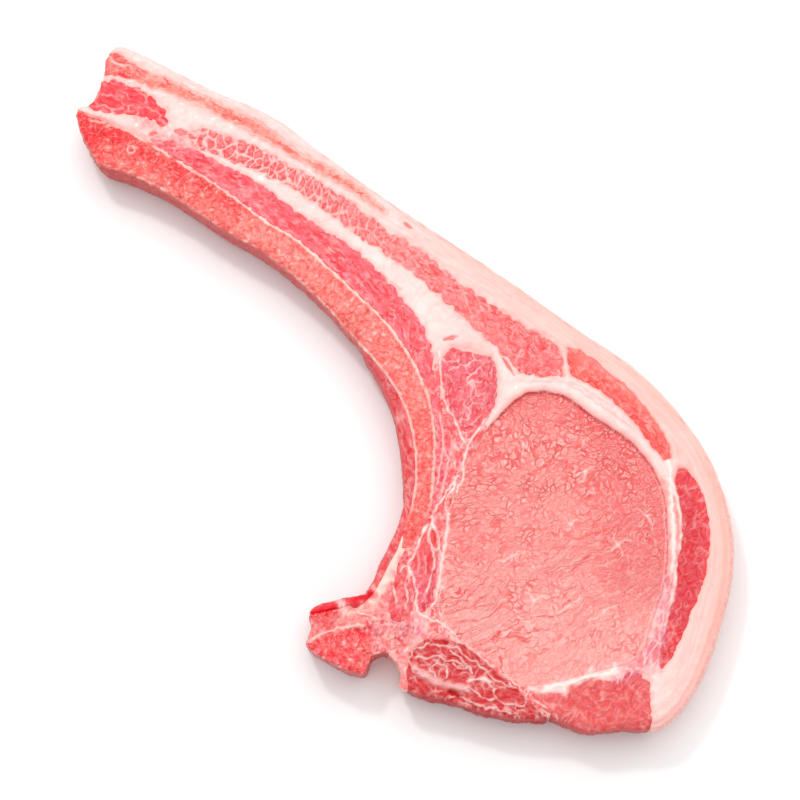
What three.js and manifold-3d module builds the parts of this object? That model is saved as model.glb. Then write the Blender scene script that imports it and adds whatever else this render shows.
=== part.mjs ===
// A raw long-bone pork rib chop: loin, split rib and belly strip in one slice.
// Millimetres, +Z up, lying on its lower cut face. +X runs towards the loin's skin,
// +Y towards the belly end. The origin is the centre of the box's underside.

import * as THREE from 'three';
import { mergeVertices } from 'three/addons/utils/BufferGeometryUtils.js';
import Module from 'manifold-3d';

// ---- Driving dimensions -------------------------------------------------------------

const THICKNESS = 20; // distance between the two cut faces
const EDGE_ROUND = 2.4; // how far the side walls bulge past the cut faces
const EDGE_RISE = 5; // height over which that bulge rounds off
const RIM_SPARE = 0.8; // how far the rounded body reaches above the cut face's mean level
const EDGE_STEPS = 2; // facets of the rounding
const GAP = 0.3; // clearance between touching pieces
const OUTLINE_STEP = 5.5; // spacing of points along an outline
const RELIEF_STEP = 5; // spacing of the grid that carries the upper face's relief
const SEAM_WIDTH = 5; // distance over which a crown rises from its seam
const SHARPEST_MITRE = 0.4; // cosine at which a grown corner stops getting longer
const OVERSHOOT = 4; // how far cutting tools reach past what they cut
const UNDULATION = 0.35; // soft unevenness of the upper face
const UNDULATION_LENGTH = 38; // distance between its swells

// ---- Outlines on the upper cut face, as points for closed smooth curves ------------------

// Each stretch of the rim runs clockwise: sawn belly end, skin, trimmed lower edge,
// sawn backbone with half of its canal, then the rib's hollow side.
const RIM_BELLY_END = [[-109, 83], [-112.8, 93.6], [-112.2, 97], [-108.7, 97.2], [-105.6, 102], [-103.4, 109], [-103.2, 116]];
const RIM_SKIN = [
  [-99.5, 119.9], [-91.3, 117.1], [-81.3, 112], [-64.8, 103.7], [-46.7, 95.7], [-26.2, 80.9], [-4.6, 64.6],
  [19.3, 48.5], [41.7, 32.9], [60.1, 19.5], [81.4, 4.5], [98.1, -14], [107.9, -31.1], [113, -50.9],
  [112.8, -65.6], [108.3, -83.3], [101.8, -100.6], [94.1, -112],
];
const RIM_LOWER_EDGE = [
  [86.1, -118.3], [74, -118.2], [61.5, -119.2], [53, -115.6], [41, -115.2], [30, -113.4], [17.3, -109.3],
  [6.4, -107], [-0.4, -104],
];
const RIM_BACKBONE = [
  [0.2, -99], [-2.4, -94.3], [-5.6, -92.2], [-9.6, -94], [-11.6, -100.1], [-24.2, -95.2], [-31.9, -89.6],
  [-29.7, -84], [-30.7, -78.5], [-25.8, -75.7], [-17.7, -73.9], [-11.4, -72.6],
];
const RIM_HOLLOW_SIDE = [
  [-7, -62.4], [-2.1, -52.8], [1.2, -42], [0.7, -30], [-1.6, -14.1], [-6.6, -1], [-16.7, 15], [-28.2, 28.5],
  [-45.1, 43.2], [-63.6, 54.5], [-81.4, 66.5], [-97.1, 73.8], [-104.5, 76.1],
];
const RIM = [...RIM_BELLY_END, ...RIM_SKIN, ...RIM_LOWER_EDGE, ...RIM_BACKBONE, ...RIM_HOLLOW_SIDE];

const RIB_BONE = [
  [-117, 96], [-108, 94], [-100, 90.9], [-88, 84.4], [-75, 76.2], [-61.5, 67.4], [-44.5, 54.6], [-36, 49.6],
  [-17.7, 32.8], [-4.4, 19.8], [6, 3.4], [11, -10.5], [12, -22], [11.6, -33], [10.6, -43], [7.6, -50],
  [3.6, -57], [0.9, -57.4], [1.4, -51.5], [4, -43], [5.3, -35], [5, -24], [1.6, -9], [-4.3, 1.2],
  [-14.9, 13.9], [-32, 30], [-46, 38], [-64, 49], [-82, 60], [-106, 70], [-117, 82],
];

const CHINE_BONE = [
  [-36, -79.6], [-30, -79.8], [-23, -78.6], [-17, -77], [-12, -79.4], [-3, -82], [3, -83], [5, -86.5],
  [2.4, -90.2], [-3.4, -91.4], [-5, -100], [-10, -106], [-26, -102], [-39, -92],
];

const LOIN_EYE = [
  [43, -4.5], [34.5, -11.5], [26.5, -21], [20.5, -32.5], [16, -46], [13.6, -63], [12.4, -80], [21, -89],
  [31, -95.5], [39.5, -102.6], [50, -102.4], [66, -98.3], [79.5, -94], [84.5, -81], [89, -68], [90, -50],
  [88, -35.5], [79, -22], [66, -12.8], [55, -5],
];

const SIDE_MUSCLE = [
  [18, 11], [25, 9.3], [30.8, 8], [33, 0], [31.5, -10], [27.5, -16.6], [22.5, -17.6], [17, -11],
  [13.8, -1], [14, 7],
];

const RIB_MUSCLE = [
  [-86.4, 84.8], [-82, 84.8], [-70.3, 80.4], [-59.8, 75.2], [-45.5, 66.8], [-32.3, 56.5], [-17.8, 47.2],
  [-6.8, 37.4], [0.4, 28.5], [7.6, 18.8], [11, 8], [12, -1], [13.6, -10], [17.2, -19], [17.2, -28],
  [14.8, -38], [11.6, -46], [8, -44], [8, -20], [5, -5], [-5, 13], [-22, 32], [-40, 48], [-55, 59],
  [-70, 69], [-84, 79],
];

const RIB_LINING = [
  [-31, 33], [-12, 14], [3, -6], [7, -25], [7, -40], [1.1, -51.7], [-0.9, -57.8], [-3.6, -62.5],
  [-7.8, -70.8], [-12, -75.8], [-16, -78], [-22, -81], [-34, -83], [-36, -74], [-24, -71], [-14, -69],
  [-8, -58], [-5, -48], [-3, -38], [-3, -24], [-8, -8], [-20, 10], [-33, 24],
];

const NECK_MUSCLE = [
  [9.9, -49.6], [11.8, -53], [12.6, -60], [11.5, -69], [10.2, -76.5], [7.4, -79], [4.9, -74], [3.9, -67],
  [5, -59], [8, -54],
];

const RIB_ROOT_MUSCLE = [
  [1.2, -58.6], [3.2, -58], [2.6, -61.5], [2, -65.6], [2.4, -71], [4, -76.4], [4, -78.4], [2, -80.6],
  [-0.9, -82.6], [-3.3, -80.6], [-3.7, -77], [-2, -72], [-1.5, -67.8], [-0.6, -63],
];

const RIB_TENDON = [
  [1.4, -53], [2, -60], [1, -70], [0, -80], [-4, -84], [-14, -84], [-18, -78], [-12, -70], [-5, -58], [-1, -51],
];

const BELLY_MIDDLE = [
  [-73.5, 87.4], [-70, 88.7], [-61, 86.6], [-50, 82], [-40, 76.5], [-29, 70], [-16, 61.2], [-3, 51.5],
  [8.4, 44], [17, 36.3], [29, 27.7], [40, 19.8], [50, 14.3], [54.6, 10.2], [56.2, 5.5], [55, 1.2],
  [48, 1.6], [40, 3.8], [34, 10.8], [26.5, 17.3], [14, 29], [2, 39.5], [-10.2, 48], [-24.4, 58.6],
  [-38.3, 68.4], [-53, 75.6], [-66, 80.2], [-71.5, 83],
];

const BELLY_OUTER = [
  [-108, 114.5], [-100.2, 116], [-96.5, 115], [-92, 111.2], [-82, 107.2], [-66, 99.4], [-50, 91.4],
  [-34, 79.8], [-26, 75.4], [-17.5, 70.4], [-10.5, 64.4], [-4.6, 58.6], [-12.5, 63.4], [-21.4, 69.4],
  [-31, 74.8], [-44, 83.2], [-55, 89.3], [-71.6, 98.2], [-84, 102.8], [-96.6, 107.8], [-108, 110],
];

const BELLY_TIP = [
  [-111, 104], [-104.5, 105.6], [-99, 106], [-91.2, 102.8], [-86.3, 99.6], [-82.3, 95.8], [-80.9, 91.6],
  [-82.8, 89.4], [-86, 91.6], [-93, 93.7], [-100, 94.8], [-110, 97.4],
];

const CAP_FRONT = [
  [57.4, 11.2], [61, 10.4], [65.5, 7.8], [70, 3.6], [76, -1.2], [82, -8], [87.5, -15.5], [91, -22],
  [91.3, -26.5], [89.3, -27.6], [85.5, -22.5], [79.2, -14], [72, -6.5], [65, -1.4], [58.4, 1.4], [57.4, 6],
];

const CAP_BACK = [
  [94, -30], [97, -31.2], [100.5, -36], [103, -42], [104.1, -50], [103.9, -57], [101.5, -69.5],
  [97.5, -78.5], [93.5, -88.5], [90, -94.5], [87.2, -98.4], [86.4, -95], [88.4, -86], [92.3, -73],
  [93.6, -62], [95.4, -53], [94.8, -42], [93.2, -34],
];

const BACK_MUSCLE = [
  [3.4, -92.4], [8.4, -88.2], [15, -87.8], [22, -90.4], [28.4, -95.6], [33, -100], [38, -103.6],
  [42.4, -108.6], [49, -113.4], [52, -120], [30, -122], [12, -117], [4, -112], [2.6, -104], [2.6, -98],
];

const LOWER_MUSCLE = [
  [44.4, -106.6], [53.4, -106], [58.3, -102.4], [64.3, -101], [69.6, -102], [74, -99.9], [79.4, -99.4],
  [82.6, -102.6], [83.2, -108], [82.6, -117], [80, -124], [56, -125], [51.4, -114.4], [47, -110],
];

// ---- The pieces, in the order in which they claim the ground where outlines meet ---------

// crown is how far a piece stands above (or below) the fat's level on the upper face.
const PIECES = [
  { name: 'rib_bone', outline: RIB_BONE, crown: 0.3, colour: 0xf08f78, roughness: 0.5 },
  { name: 'chine_bone', outline: CHINE_BONE, crown: -0.5, colour: 0xf3a48c, roughness: 0.5 },
  { name: 'loin_eye', outline: LOIN_EYE, crown: -1.2, colour: 0xf2938c, roughness: 0.4 },
  { name: 'side_muscle', outline: SIDE_MUSCLE, crown: 0.5, colour: 0xe77f80, roughness: 0.4 },
  { name: 'rib_muscle', outline: RIB_MUSCLE, crown: 0.4, colour: 0xdf6a70, roughness: 0.4 },
  { name: 'rib_lining', outline: RIB_LINING, crown: -0.8, colour: 0xe86a62, roughness: 0.35 },
  { name: 'neck_muscle', outline: NECK_MUSCLE, crown: 0.3, colour: 0xec7a72, roughness: 0.4 },
  { name: 'rib_root_muscle', outline: RIB_ROOT_MUSCLE, crown: 0.3, colour: 0xf08474, roughness: 0.4 },
  { name: 'rib_tendon', outline: RIB_TENDON, crown: 0.2, colour: 0xf7d8cc, roughness: 0.45 },
  { name: 'belly_middle', outline: BELLY_MIDDLE, crown: 0.4, colour: 0xf0827c, roughness: 0.4 },
  { name: 'belly_outer', outline: BELLY_OUTER, crown: 0.3, colour: 0xf6a896, roughness: 0.4 },
  { name: 'belly_tip', outline: BELLY_TIP, crown: 0.3, colour: 0xdc5c60, roughness: 0.4 },
  { name: 'cap_front', outline: CAP_FRONT, crown: -0.4, colour: 0xef7c6e, roughness: 0.4 },
  { name: 'cap_back', outline: CAP_BACK, crown: 0.4, colour: 0xe06468, roughness: 0.4 },
  { name: 'back_muscle', outline: BACK_MUSCLE, crown: -1, colour: 0xd2605f, roughness: 0.4 },
  { name: 'lower_muscle', outline: LOWER_MUSCLE, crown: -0.5, colour: 0xeb6d69, roughness: 0.4 },
];
const FAT = { name: 'fat', colour: 0xfae3da, roughness: 0.45 };

// ---- Curves --------------------------------------------------------------------------------

/** Points along a closed smooth curve, at about OUTLINE_STEP, with every given point kept. */
function smoothLoop(points) {
  const corners = points.map(([x, y]) => new THREE.Vector3(x, y, 0));
  const curve = new THREE.CatmullRomCurve3(corners, true, 'centripetal');
  const loop = [];
  corners.forEach((corner, i) => {
    const next = corners[(i + 1) % corners.length];
    const pieces = Math.max(1, Math.round(corner.distanceTo(next) / OUTLINE_STEP));
    for (let k = 0; k < pieces; k++) {
      const p = curve.getPoint((i + k / pieces) / corners.length);
      loop.push(new THREE.Vector2(p.x, p.y));
    }
  });
  return THREE.ShapeUtils.isClockWise(loop) ? loop.reverse() : loop;
}

/** The loop moved outwards by distance, with its corners mitred. */
function grow(loop, distance) {
  const outward = loop.map((p, i) => {
    const after = loop[(i + 1) % loop.length];
    return new THREE.Vector2(after.y - p.y, p.x - after.x).normalize();
  });
  return loop.map((p, i) => {
    const before = outward[(i + loop.length - 1) % loop.length];
    const middle = before.clone().add(outward[i]).normalize();
    return p.clone().addScaledVector(middle, distance / Math.max(middle.dot(before), SHARPEST_MITRE));
  });
}

/** Distance from (x, y) to the loop, positive inside and negative outside. */
function depthInside(loop, x, y) {
  let nearest = Infinity;
  let inside = false;
  for (let i = 0, j = loop.length - 1; i < loop.length; j = i++) {
    const a = loop[j];
    const b = loop[i];
    const run = b.clone().sub(a);
    const share = ((x - a.x) * run.x + (y - a.y) * run.y) / run.lengthSq();
    const t = THREE.MathUtils.clamp(share, 0, 1);
    nearest = Math.min(nearest, Math.hypot(x - a.x - run.x * t, y - a.y - run.y * t));
    if (a.y > y !== b.y > y && x < a.x + (run.x * (y - a.y)) / run.y) {
      inside = !inside;
    }
  }
  return inside ? nearest : -nearest;
}

// ---- Solids --------------------------------------------------------------------------------

const manifold = await Module();
manifold.setup();

function toSolid(geometry) {
  geometry.deleteAttribute('normal');
  geometry.deleteAttribute('uv');
  const merged = mergeVertices(geometry, 1e-4);
  return new manifold.Manifold(new manifold.Mesh({
    numProp: 3,
    vertProperties: new Float32Array(merged.attributes.position.array),
    triVerts: new Uint32Array(merged.index.array),
  }));
}

function toGeometry(solid) {
  const mesh = solid.getMesh();
  const geometry = new THREE.BufferGeometry();
  geometry.setAttribute('position', new THREE.BufferAttribute(new Float32Array(mesh.vertProperties), 3));
  geometry.setIndex(new THREE.BufferAttribute(new Uint32Array(mesh.triVerts), 1));
  return geometry;
}

/** An upright prism that passes right through the slice. */
function prism(loop) {
  const depth = THICKNESS + 2 * OVERSHOOT;
  const geometry = new THREE.ExtrudeGeometry(new THREE.Shape(loop), { depth, bevelEnabled: false });
  return toSolid(geometry.translate(0, 0, -OVERSHOOT));
}

/** The slice's outer body, its side walls rounded towards both cut faces. */
function rimBody(loop) {
  const tall = THICKNESS + RIM_SPARE;
  const geometry = new THREE.ExtrudeGeometry(new THREE.Shape(loop), {
    depth: tall - 2 * EDGE_RISE,
    bevelThickness: EDGE_RISE,
    bevelSize: EDGE_ROUND,
    bevelOffset: -EDGE_ROUND,
    bevelSegments: EDGE_STEPS,
  });
  return toSolid(geometry.translate(0, 0, EDGE_RISE));
}

/** A block below the uneven upper face: crowns and hollows of the pieces and soft swells. */
function reliefBlock(loops) {
  const box = new THREE.Box2().setFromPoints(smoothLoop(RIM)).expandByScalar(OVERSHOOT);
  const size = box.getSize(new THREE.Vector2());
  const centre = box.getCenter(new THREE.Vector2());
  const columns = Math.round(size.x / RELIEF_STEP);
  const rows = Math.round(size.y / RELIEF_STEP);
  const geometry = new THREE.BoxGeometry(size.x, size.y, 1, columns, rows, 1);
  const position = geometry.attributes.position;
  for (let i = 0; i < position.count; i++) {
    const x = position.getX(i) + centre.x;
    const y = position.getY(i) + centre.y;
    const z = position.getZ(i) > 0 ? heightAt(loops, x, y) : -OVERSHOOT;
    position.setXYZ(i, x, y, z);
  }
  return toSolid(geometry);
}

function heightAt(loops, x, y) {
  const turn = (2 * Math.PI) / UNDULATION_LENGTH;
  let z = THICKNESS + UNDULATION * Math.sin(turn * x + 1) * Math.cos(turn * y);
  PIECES.forEach(({ crown }, i) => {
    z += crown * THREE.MathUtils.smoothstep(depthInside(loops[i], x, y), 0, SEAM_WIDTH);
  });
  return z;
}

// ---- The chop ------------------------------------------------------------------------------

function buildSolids() {
  const loops = PIECES.map(({ outline }) => smoothLoop(outline));
  const whole = rimBody(smoothLoop(RIM)).intersect(reliefBlock(loops));
  const solids = [];
  let rest = whole;
  loops.forEach((loop) => {
    solids.push(rest.intersect(prism(loop)));
    rest = rest.subtract(prism(grow(loop, GAP)));
  });
  solids.push(rest);
  return solids;
}

function buildChop() {
  const chop = new THREE.Group();
  const solids = buildSolids();
  [...PIECES, FAT].forEach(({ name, colour, roughness }, i) => {
    const material = new THREE.MeshStandardMaterial({ color: colour, roughness, metalness: 0 });
    const mesh = new THREE.Mesh(toGeometry(solids[i]), material);
    mesh.name = name;
    chop.add(mesh);
  });
  const centre = new THREE.Box3().setFromObject(chop, true).getCenter(new THREE.Vector3());
  chop.position.set(-centre.x, -centre.y, 0);
  return chop;
}

export default buildChop();
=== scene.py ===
"""Raw long-bone pork chop: the finish of every cut surface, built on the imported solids.

Each solid is replaced by a fine mesh of the same form. The slice is laid out once as a grid seen from
above, every point of it belonging to one piece, so that neighbouring pieces meet along the same edge.
"""
import math

import bpy
import numpy as np
from bpy.props import FloatProperty, FloatVectorProperty, PointerProperty
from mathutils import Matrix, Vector


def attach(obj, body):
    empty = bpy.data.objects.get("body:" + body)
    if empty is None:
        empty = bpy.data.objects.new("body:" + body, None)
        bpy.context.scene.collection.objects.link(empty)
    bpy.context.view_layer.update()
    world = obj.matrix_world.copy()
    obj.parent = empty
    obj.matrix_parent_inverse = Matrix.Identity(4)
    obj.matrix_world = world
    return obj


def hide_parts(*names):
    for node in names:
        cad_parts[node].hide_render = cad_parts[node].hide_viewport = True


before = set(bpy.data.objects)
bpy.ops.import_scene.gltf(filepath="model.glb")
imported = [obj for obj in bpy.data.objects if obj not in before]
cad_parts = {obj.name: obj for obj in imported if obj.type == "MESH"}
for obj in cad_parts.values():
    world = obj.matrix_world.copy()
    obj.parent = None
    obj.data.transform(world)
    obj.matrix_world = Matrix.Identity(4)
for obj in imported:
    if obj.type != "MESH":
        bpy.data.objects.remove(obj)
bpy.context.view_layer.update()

bl_info = {
    "name": "Raw Pork Chop",
    "version": (1, 0, 0),
    "blender": (4, 5, 0),
    "location": "View3D > Sidebar > Pork Chop",
    "description": "Builds a raw long-bone pork chop with bone, lean meat, fat and connective tissue",
    "category": "Object",
}

MM = 0.001  # metres in a millimetre; outlines and patterns below are in millimetres
AIR = 0  # label of the grid points outside the chop
NODES = sorted(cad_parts)
LABEL = {node: number for number, node in enumerate(NODES, start=1)}


def linear(code):
    """A colour given as sRGB hex digits, as linear red, green, blue and alpha."""
    shares = [int(code[i:i + 2], 16) / 255 for i in (0, 2, 4)]
    return tuple(s / 12.92 if s <= 0.04045 else ((s + 0.055) / 1.055) ** 2.4 for s in shares) + (1.0,)


# ---- What a user would change -----------------------------------------------------------------


def size_property(name, description, default, low, high):
    """A size that can be changed in the sidebar."""
    return FloatProperty(
        name=name, description=description, default=default, min=low, max=high, precision=2
    )


def colour_property(name, description, code):
    """A colour that can be changed in the sidebar."""
    return FloatVectorProperty(
        name=name, description=description, default=linear(code), size=4, min=0.0, max=1.0,
        subtype="COLOR",
    )


class ChopSizes(bpy.types.PropertyGroup):
    """Sizes of the surface, in millimetres."""

    detail: size_property("Detail", "Spacing of the surface grid, mm", 0.34, 0.25, 2.0)
    thickness: size_property("Thickness", "Height of the upper cut face, mm", 20.0, 10.0, 30.0)
    eye_sink: size_property("Eye sink", "How far the loin eye lies below its fat rim, mm", 1.2, 0.0, 3.0)
    cobble: size_property("Cobble", "Share of the fibre bundles' relief", 1.0, 0.0, 2.0)
    swell: size_property("Swell", "Slow unevenness of the cut face, mm", 0.35, 0.0, 1.0)


class ChopColours(bpy.types.PropertyGroup):
    """Colours of meat, fat, bone and tissue."""

    loin: colour_property("Loin lean", "Pale pink of the loin eye", "F18782")
    coral: colour_property("Coral lean", "Belly meat and the front of the cap", "F87574")
    rosy: colour_property("Rosy lean", "Muscles beside the rib and the backbone", "F06069")
    dark: colour_property("Dark lean", "Deep red back of the cap", "E23E44")
    pale: colour_property("Pale lean", "Thin outer belly muscle", "FC7B70")
    lining: colour_property("Lining", "Red inner wall of the rib side", "EB575A")
    fat: colour_property("Fat", "Firm back fat", "FFD9D4")
    skin: colour_property("Skin side", "Fat beside the skin", "FBC1B6")
    marrow: colour_property("Marrow", "Sawn red marrow", "FA736C")
    shell: colour_property("Bone shell", "Hard outer layer of the bone", "FFD0C4")
    tissue: colour_property("Tissue", "White connective tissue", "FFDAD4")
    sheath: colour_property("Sheath", "Purple-pink sheet of tissue between muscles", "DC7C90")
    blood: colour_property("Blood", "Wet blood in cuts and crevices", "E61228")


# ---- Repeatable random patterns -----------------------------------------------------------------


def scatter(column, row, seed):
    """A repeatable random number from 0 to 1 for each whole-number place."""
    mixed = (column * 374761393 + row * 668265263 + seed * 974634777) & 0xFFFFFFFF
    mixed = ((mixed ^ (mixed >> 13)) * 1274126177) & 0xFFFFFFFF
    return ((mixed ^ (mixed >> 16)) & 0xFFFF) / 65535.0


def swells(x, y, size, seed):
    """Smooth random ups and downs from about -1 to 1, size apart."""
    x, y = x / size, y / size
    column, row = np.floor(x).astype(np.int64), np.floor(y).astype(np.int64)
    x, y = x - column, y - row
    ease_x, ease_y = x * x * x * (x * (6 * x - 15) + 10), y * y * y * (y * (6 * y - 15) + 10)

    def slope(right, up):
        turn = 2 * math.pi * scatter(column + right, row + up, seed)
        return np.cos(turn) * (x - right) + np.sin(turn) * (y - up)

    low = slope(0, 0) * (1 - ease_x) + slope(1, 0) * ease_x
    high = slope(0, 1) * (1 - ease_x) + slope(1, 1) * ease_x
    return 1.5 * (low * (1 - ease_y) + high * ease_y)


def layered(x, y, size, seed, layers=3):
    """Swells with finer swells on them, each layer half as large and half as strong."""
    total = np.zeros_like(x)
    for layer in range(layers):
        total += swells(x, y, size / 2 ** layer, seed + layer) / 2 ** layer
    return total / 1.6


def cells(x, y, seed, jitter=0.85):
    """For a jittered field of unit cells: distance to the cell's border, to its middle, and its tag."""
    column, row = np.floor(x).astype(np.int64), np.floor(y).astype(np.int64)
    near = np.full(x.shape, 9.0)
    second = np.full(x.shape, 9.0)
    tag = np.zeros(x.shape)
    for right in (-1, 0, 1):
        for up in (-1, 0, 1):
            place = column + right, row + up
            from_x = place[0] + 0.5 + jitter * (scatter(*place, seed) - 0.5) - x
            from_y = place[1] + 0.5 + jitter * (scatter(*place, seed + 7) - 0.5) - y
            away = np.hypot(from_x, from_y)
            closer = away < near
            second = np.where(closer, near, np.minimum(second, away))
            tag = np.where(closer, scatter(*place, seed + 13), tag)
            near = np.where(closer, away, near)
    return (second - near) / 2, near, tag


def smooth(value, low, high):
    """0 below low, 1 above high and an even rise between them."""
    share = np.clip((value - low) / (high - low), 0.0, 1.0)
    return share * share * (3 - 2 * share)


def bell(distance, width):
    """1 at no distance, falling away over width."""
    return np.exp(-(distance / width) ** 2)


def bent(x, y, size, sway, seed):
    """The coordinates shifted by up to sway, in swells of a size."""
    return x + sway * swells(x, y, size, seed), y + sway * swells(x, y, size, seed + 1)


def veins(x, y, size, width, seed, sway=0.3):
    """A net of thin lines about size apart, as a mask from 0 to 1."""
    bent_x, bent_y = bent(x, y, size * 0.7, sway * size, seed + 1)
    border, _, _ = cells(bent_x / size, bent_y / size, seed)
    return bell(border * size, width)


def curls(x, y, size, width, seed):
    """Thin curling lines, closed and open, about size apart, as a mask from 0 to 1."""
    return bell(swells(x, y, size, seed), 1.7 * width / size)


# ---- Outlines of the solids ---------------------------------------------------------------------


def section(node, level):
    """Where a piece's solid crosses a level, as short segments."""
    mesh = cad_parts[node].data
    points = np.empty(len(mesh.vertices) * 3)
    mesh.vertices.foreach_get("co", points)
    mesh.calc_loop_triangles()
    corners = np.empty(len(mesh.loop_triangles) * 3, np.int32)
    mesh.loop_triangles.foreach_get("vertices", corners)
    triangles = points.reshape(-1, 3)[corners.reshape(-1, 3)] / MM
    above = triangles[:, :, 2] > level
    crossed = above.any(1) & ~above.all(1)
    triangles, above = triangles[crossed], above[crossed]
    lone = np.where(above.sum(1) == 1, above.argmax(1), (~above).argmax(1))
    each = np.arange(len(triangles))
    tip = triangles[each, lone]
    ends = []
    for turn in (1, 2):
        other = triangles[each, (lone + turn) % 3]
        share = (level - tip[:, 2]) / (other[:, 2] - tip[:, 2])
        ends.append(tip[:, :2] + share[:, None] * (other - tip)[:, :2])
    return np.stack(ends, 1)


def filled(segments, xs, ys):
    """True at the grid points inside the closed outline that the segments make."""
    inside = np.zeros((len(ys), len(xs)), bool)
    for row, y in enumerate(ys):
        crossed = segments[(segments[:, 0, 1] > y) != (segments[:, 1, 1] > y)]
        start, run = crossed[:, 0], crossed[:, 1] - crossed[:, 0]
        cuts = start[:, 0] + (y - start[:, 1]) * run[:, 0] / run[:, 1]
        inside[row] = np.searchsorted(np.sort(cuts), xs) % 2 == 1
    return inside


def distance(x, y, segments):
    """Distance from each point to the nearest of the segments."""
    nearest = np.full(x.shape, np.inf)
    for (start_x, start_y), (end_x, end_y) in segments:
        run_x, run_y = end_x - start_x, end_y - start_y
        share = ((x - start_x) * run_x + (y - start_y) * run_y) / (run_x ** 2 + run_y ** 2 + 1e-12)
        share = np.clip(share, 0.0, 1.0)
        away = (x - start_x - share * run_x) ** 2 + (y - start_y - share * run_y) ** 2
        nearest = np.minimum(nearest, away)
    return np.sqrt(nearest)


def line_distance(x, y, points):
    """Distance to a smooth line through a few given points."""
    corners = [Vector((*p, 0.0)) for p in points]
    ends = [corners[0] * 2 - corners[1], *corners, corners[-1] * 2 - corners[-2]]
    line = []
    for before, start, end, after in zip(ends, ends[1:], ends[2:], ends[3:]):
        for share in np.linspace(0, 1, 6, endpoint=False):
            s2, s3 = share ** 2, share ** 3
            line.append(
                start * (1.5 * s3 - 2.5 * s2 + 1) + end * (2 * s2 - 1.5 * s3 + 0.5 * share)
                + before * (s2 - 0.5 * s3 - 0.5 * share) + after * (0.5 * s3 - 0.5 * s2)
            )
    line.append(corners[-1])
    flat = np.array([(p.x, p.y) for p in line])
    return distance(x, y, np.stack([flat[:-1], flat[1:]], 1))


def drawn(x, y, lines, width, seed):
    """A mask of given lines, of uneven width."""
    uneven = width * (0.95 + 0.65 * swells(x, y, 2.4, seed))
    bent_x, bent_y = bent(x, y, 2.0, 0.5, seed + 1)
    mask = np.zeros_like(x)
    for line in lines:
        reach = np.array(line)
        low, high = reach.min(0) - 3, reach.max(0) + 3
        near = (x > low[0]) & (x < high[0]) & (y > low[1]) & (y < high[1])
        away = line_distance(bent_x[near], bent_y[near], line)
        mask[near] = np.maximum(mask[near], bell(away, uneven[near]))
    return mask


# How the upper edge is shaped, at places round the rim: how far it stays back from the widest part of
# the side wall, how far it drops there, how far the foot of the wall stays back, and how ragged it is.
# Fat and lining slope and bulge, sawn bone stands straight or undercut, and torn meat is ragged.
EDGE_PLACES = [
    (-98, 120, 1.0, 0.6, 0.6, 0.4), (-60, 102, 1.8, 0.8, 1.0, 0.15), (-20, 77, 2.0, 0.8, 1.2, 0.15),
    (20, 48, 2.2, 0.9, 1.2, 0.15), (81, 5, 2.4, 1.0, 1.4, 0.15), (113, -55, 2.6, 1.3, 1.5, 0.15),
    (102, -101, 2.4, 1.3, 1.4, 0.2), (88, -118, 1.8, 1.2, 1.0, 0.3), (70, -118, 1.4, 0.7, 0.6, 0.5),
    (41, -115, 1.3, 0.8, 0.4, 0.9), (15, -109, 1.2, 0.7, 0.4, 0.9), (-1, -99, 0.7, 0.5, 0.2, 0.8),
    (-8, -93, 0.3, 0.3, -0.2, 0.7), (-20, -96, 0.4, 0.3, -0.2, 0.6), (-32, -88, 0.4, 0.4, 0.2, 0.7),
    (-20, -74, 0.5, 0.6, 0.5, 0.9), (-7, -62, 0.8, 2.4, 0.8, 0.4), (1, -35, 0.8, 3.0, 0.8, 0.25),
    (-2, -12, 0.8, 2.8, 0.8, 0.2), (-16, 15, 0.7, 1.8, 1.0, 0.35), (-28, 28, 0.5, 0.8, 0.9, 0.5),
    (-45, 43, 0.3, 0.4, 0.8, 0.6), (-64, 54, 0.3, 0.4, 0.8, 0.6), (-82, 66, 0.3, 0.4, 0.8, 0.7),
    (-99, 74, 0.3, 0.4, 0.8, 0.9), (-111, 89, 0.4, 0.5, 0.8, 0.9), (-105, 105, 0.5, 0.5, 0.6, 0.7),
]
# How strongly each piece's edge bulges out in lobes where it meets its neighbours, in millimetres.
LOBES = {
    "loin_eye": 0.3, "rib_muscle": 1.5, "belly_middle": 1.7, "belly_outer": 1.2, "belly_tip": 1.7,
    "side_muscle": 0.8, "cap_front": 0.8, "cap_back": 0.8, "back_muscle": 0.8, "lower_muscle": 1.5,
    "rib_root_muscle": 1.2, "chine_bone": 1.4,
}
LEAST_LOBES = 0.12  # for the pieces with smooth edges
LOBE_SIZE = 4.2  # spacing of the lobes
SECTION_LEVEL = 10.0  # the side walls reach furthest at this height
WINDOW = 7.0  # how far round a piece its distances are worked out
MARGIN = 4.0  # free grid round the chop
FAR = -40.0  # depth that stands for a point well away from a piece
SOLID_GAP = 0.3  # the gap between neighbouring solids


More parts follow.
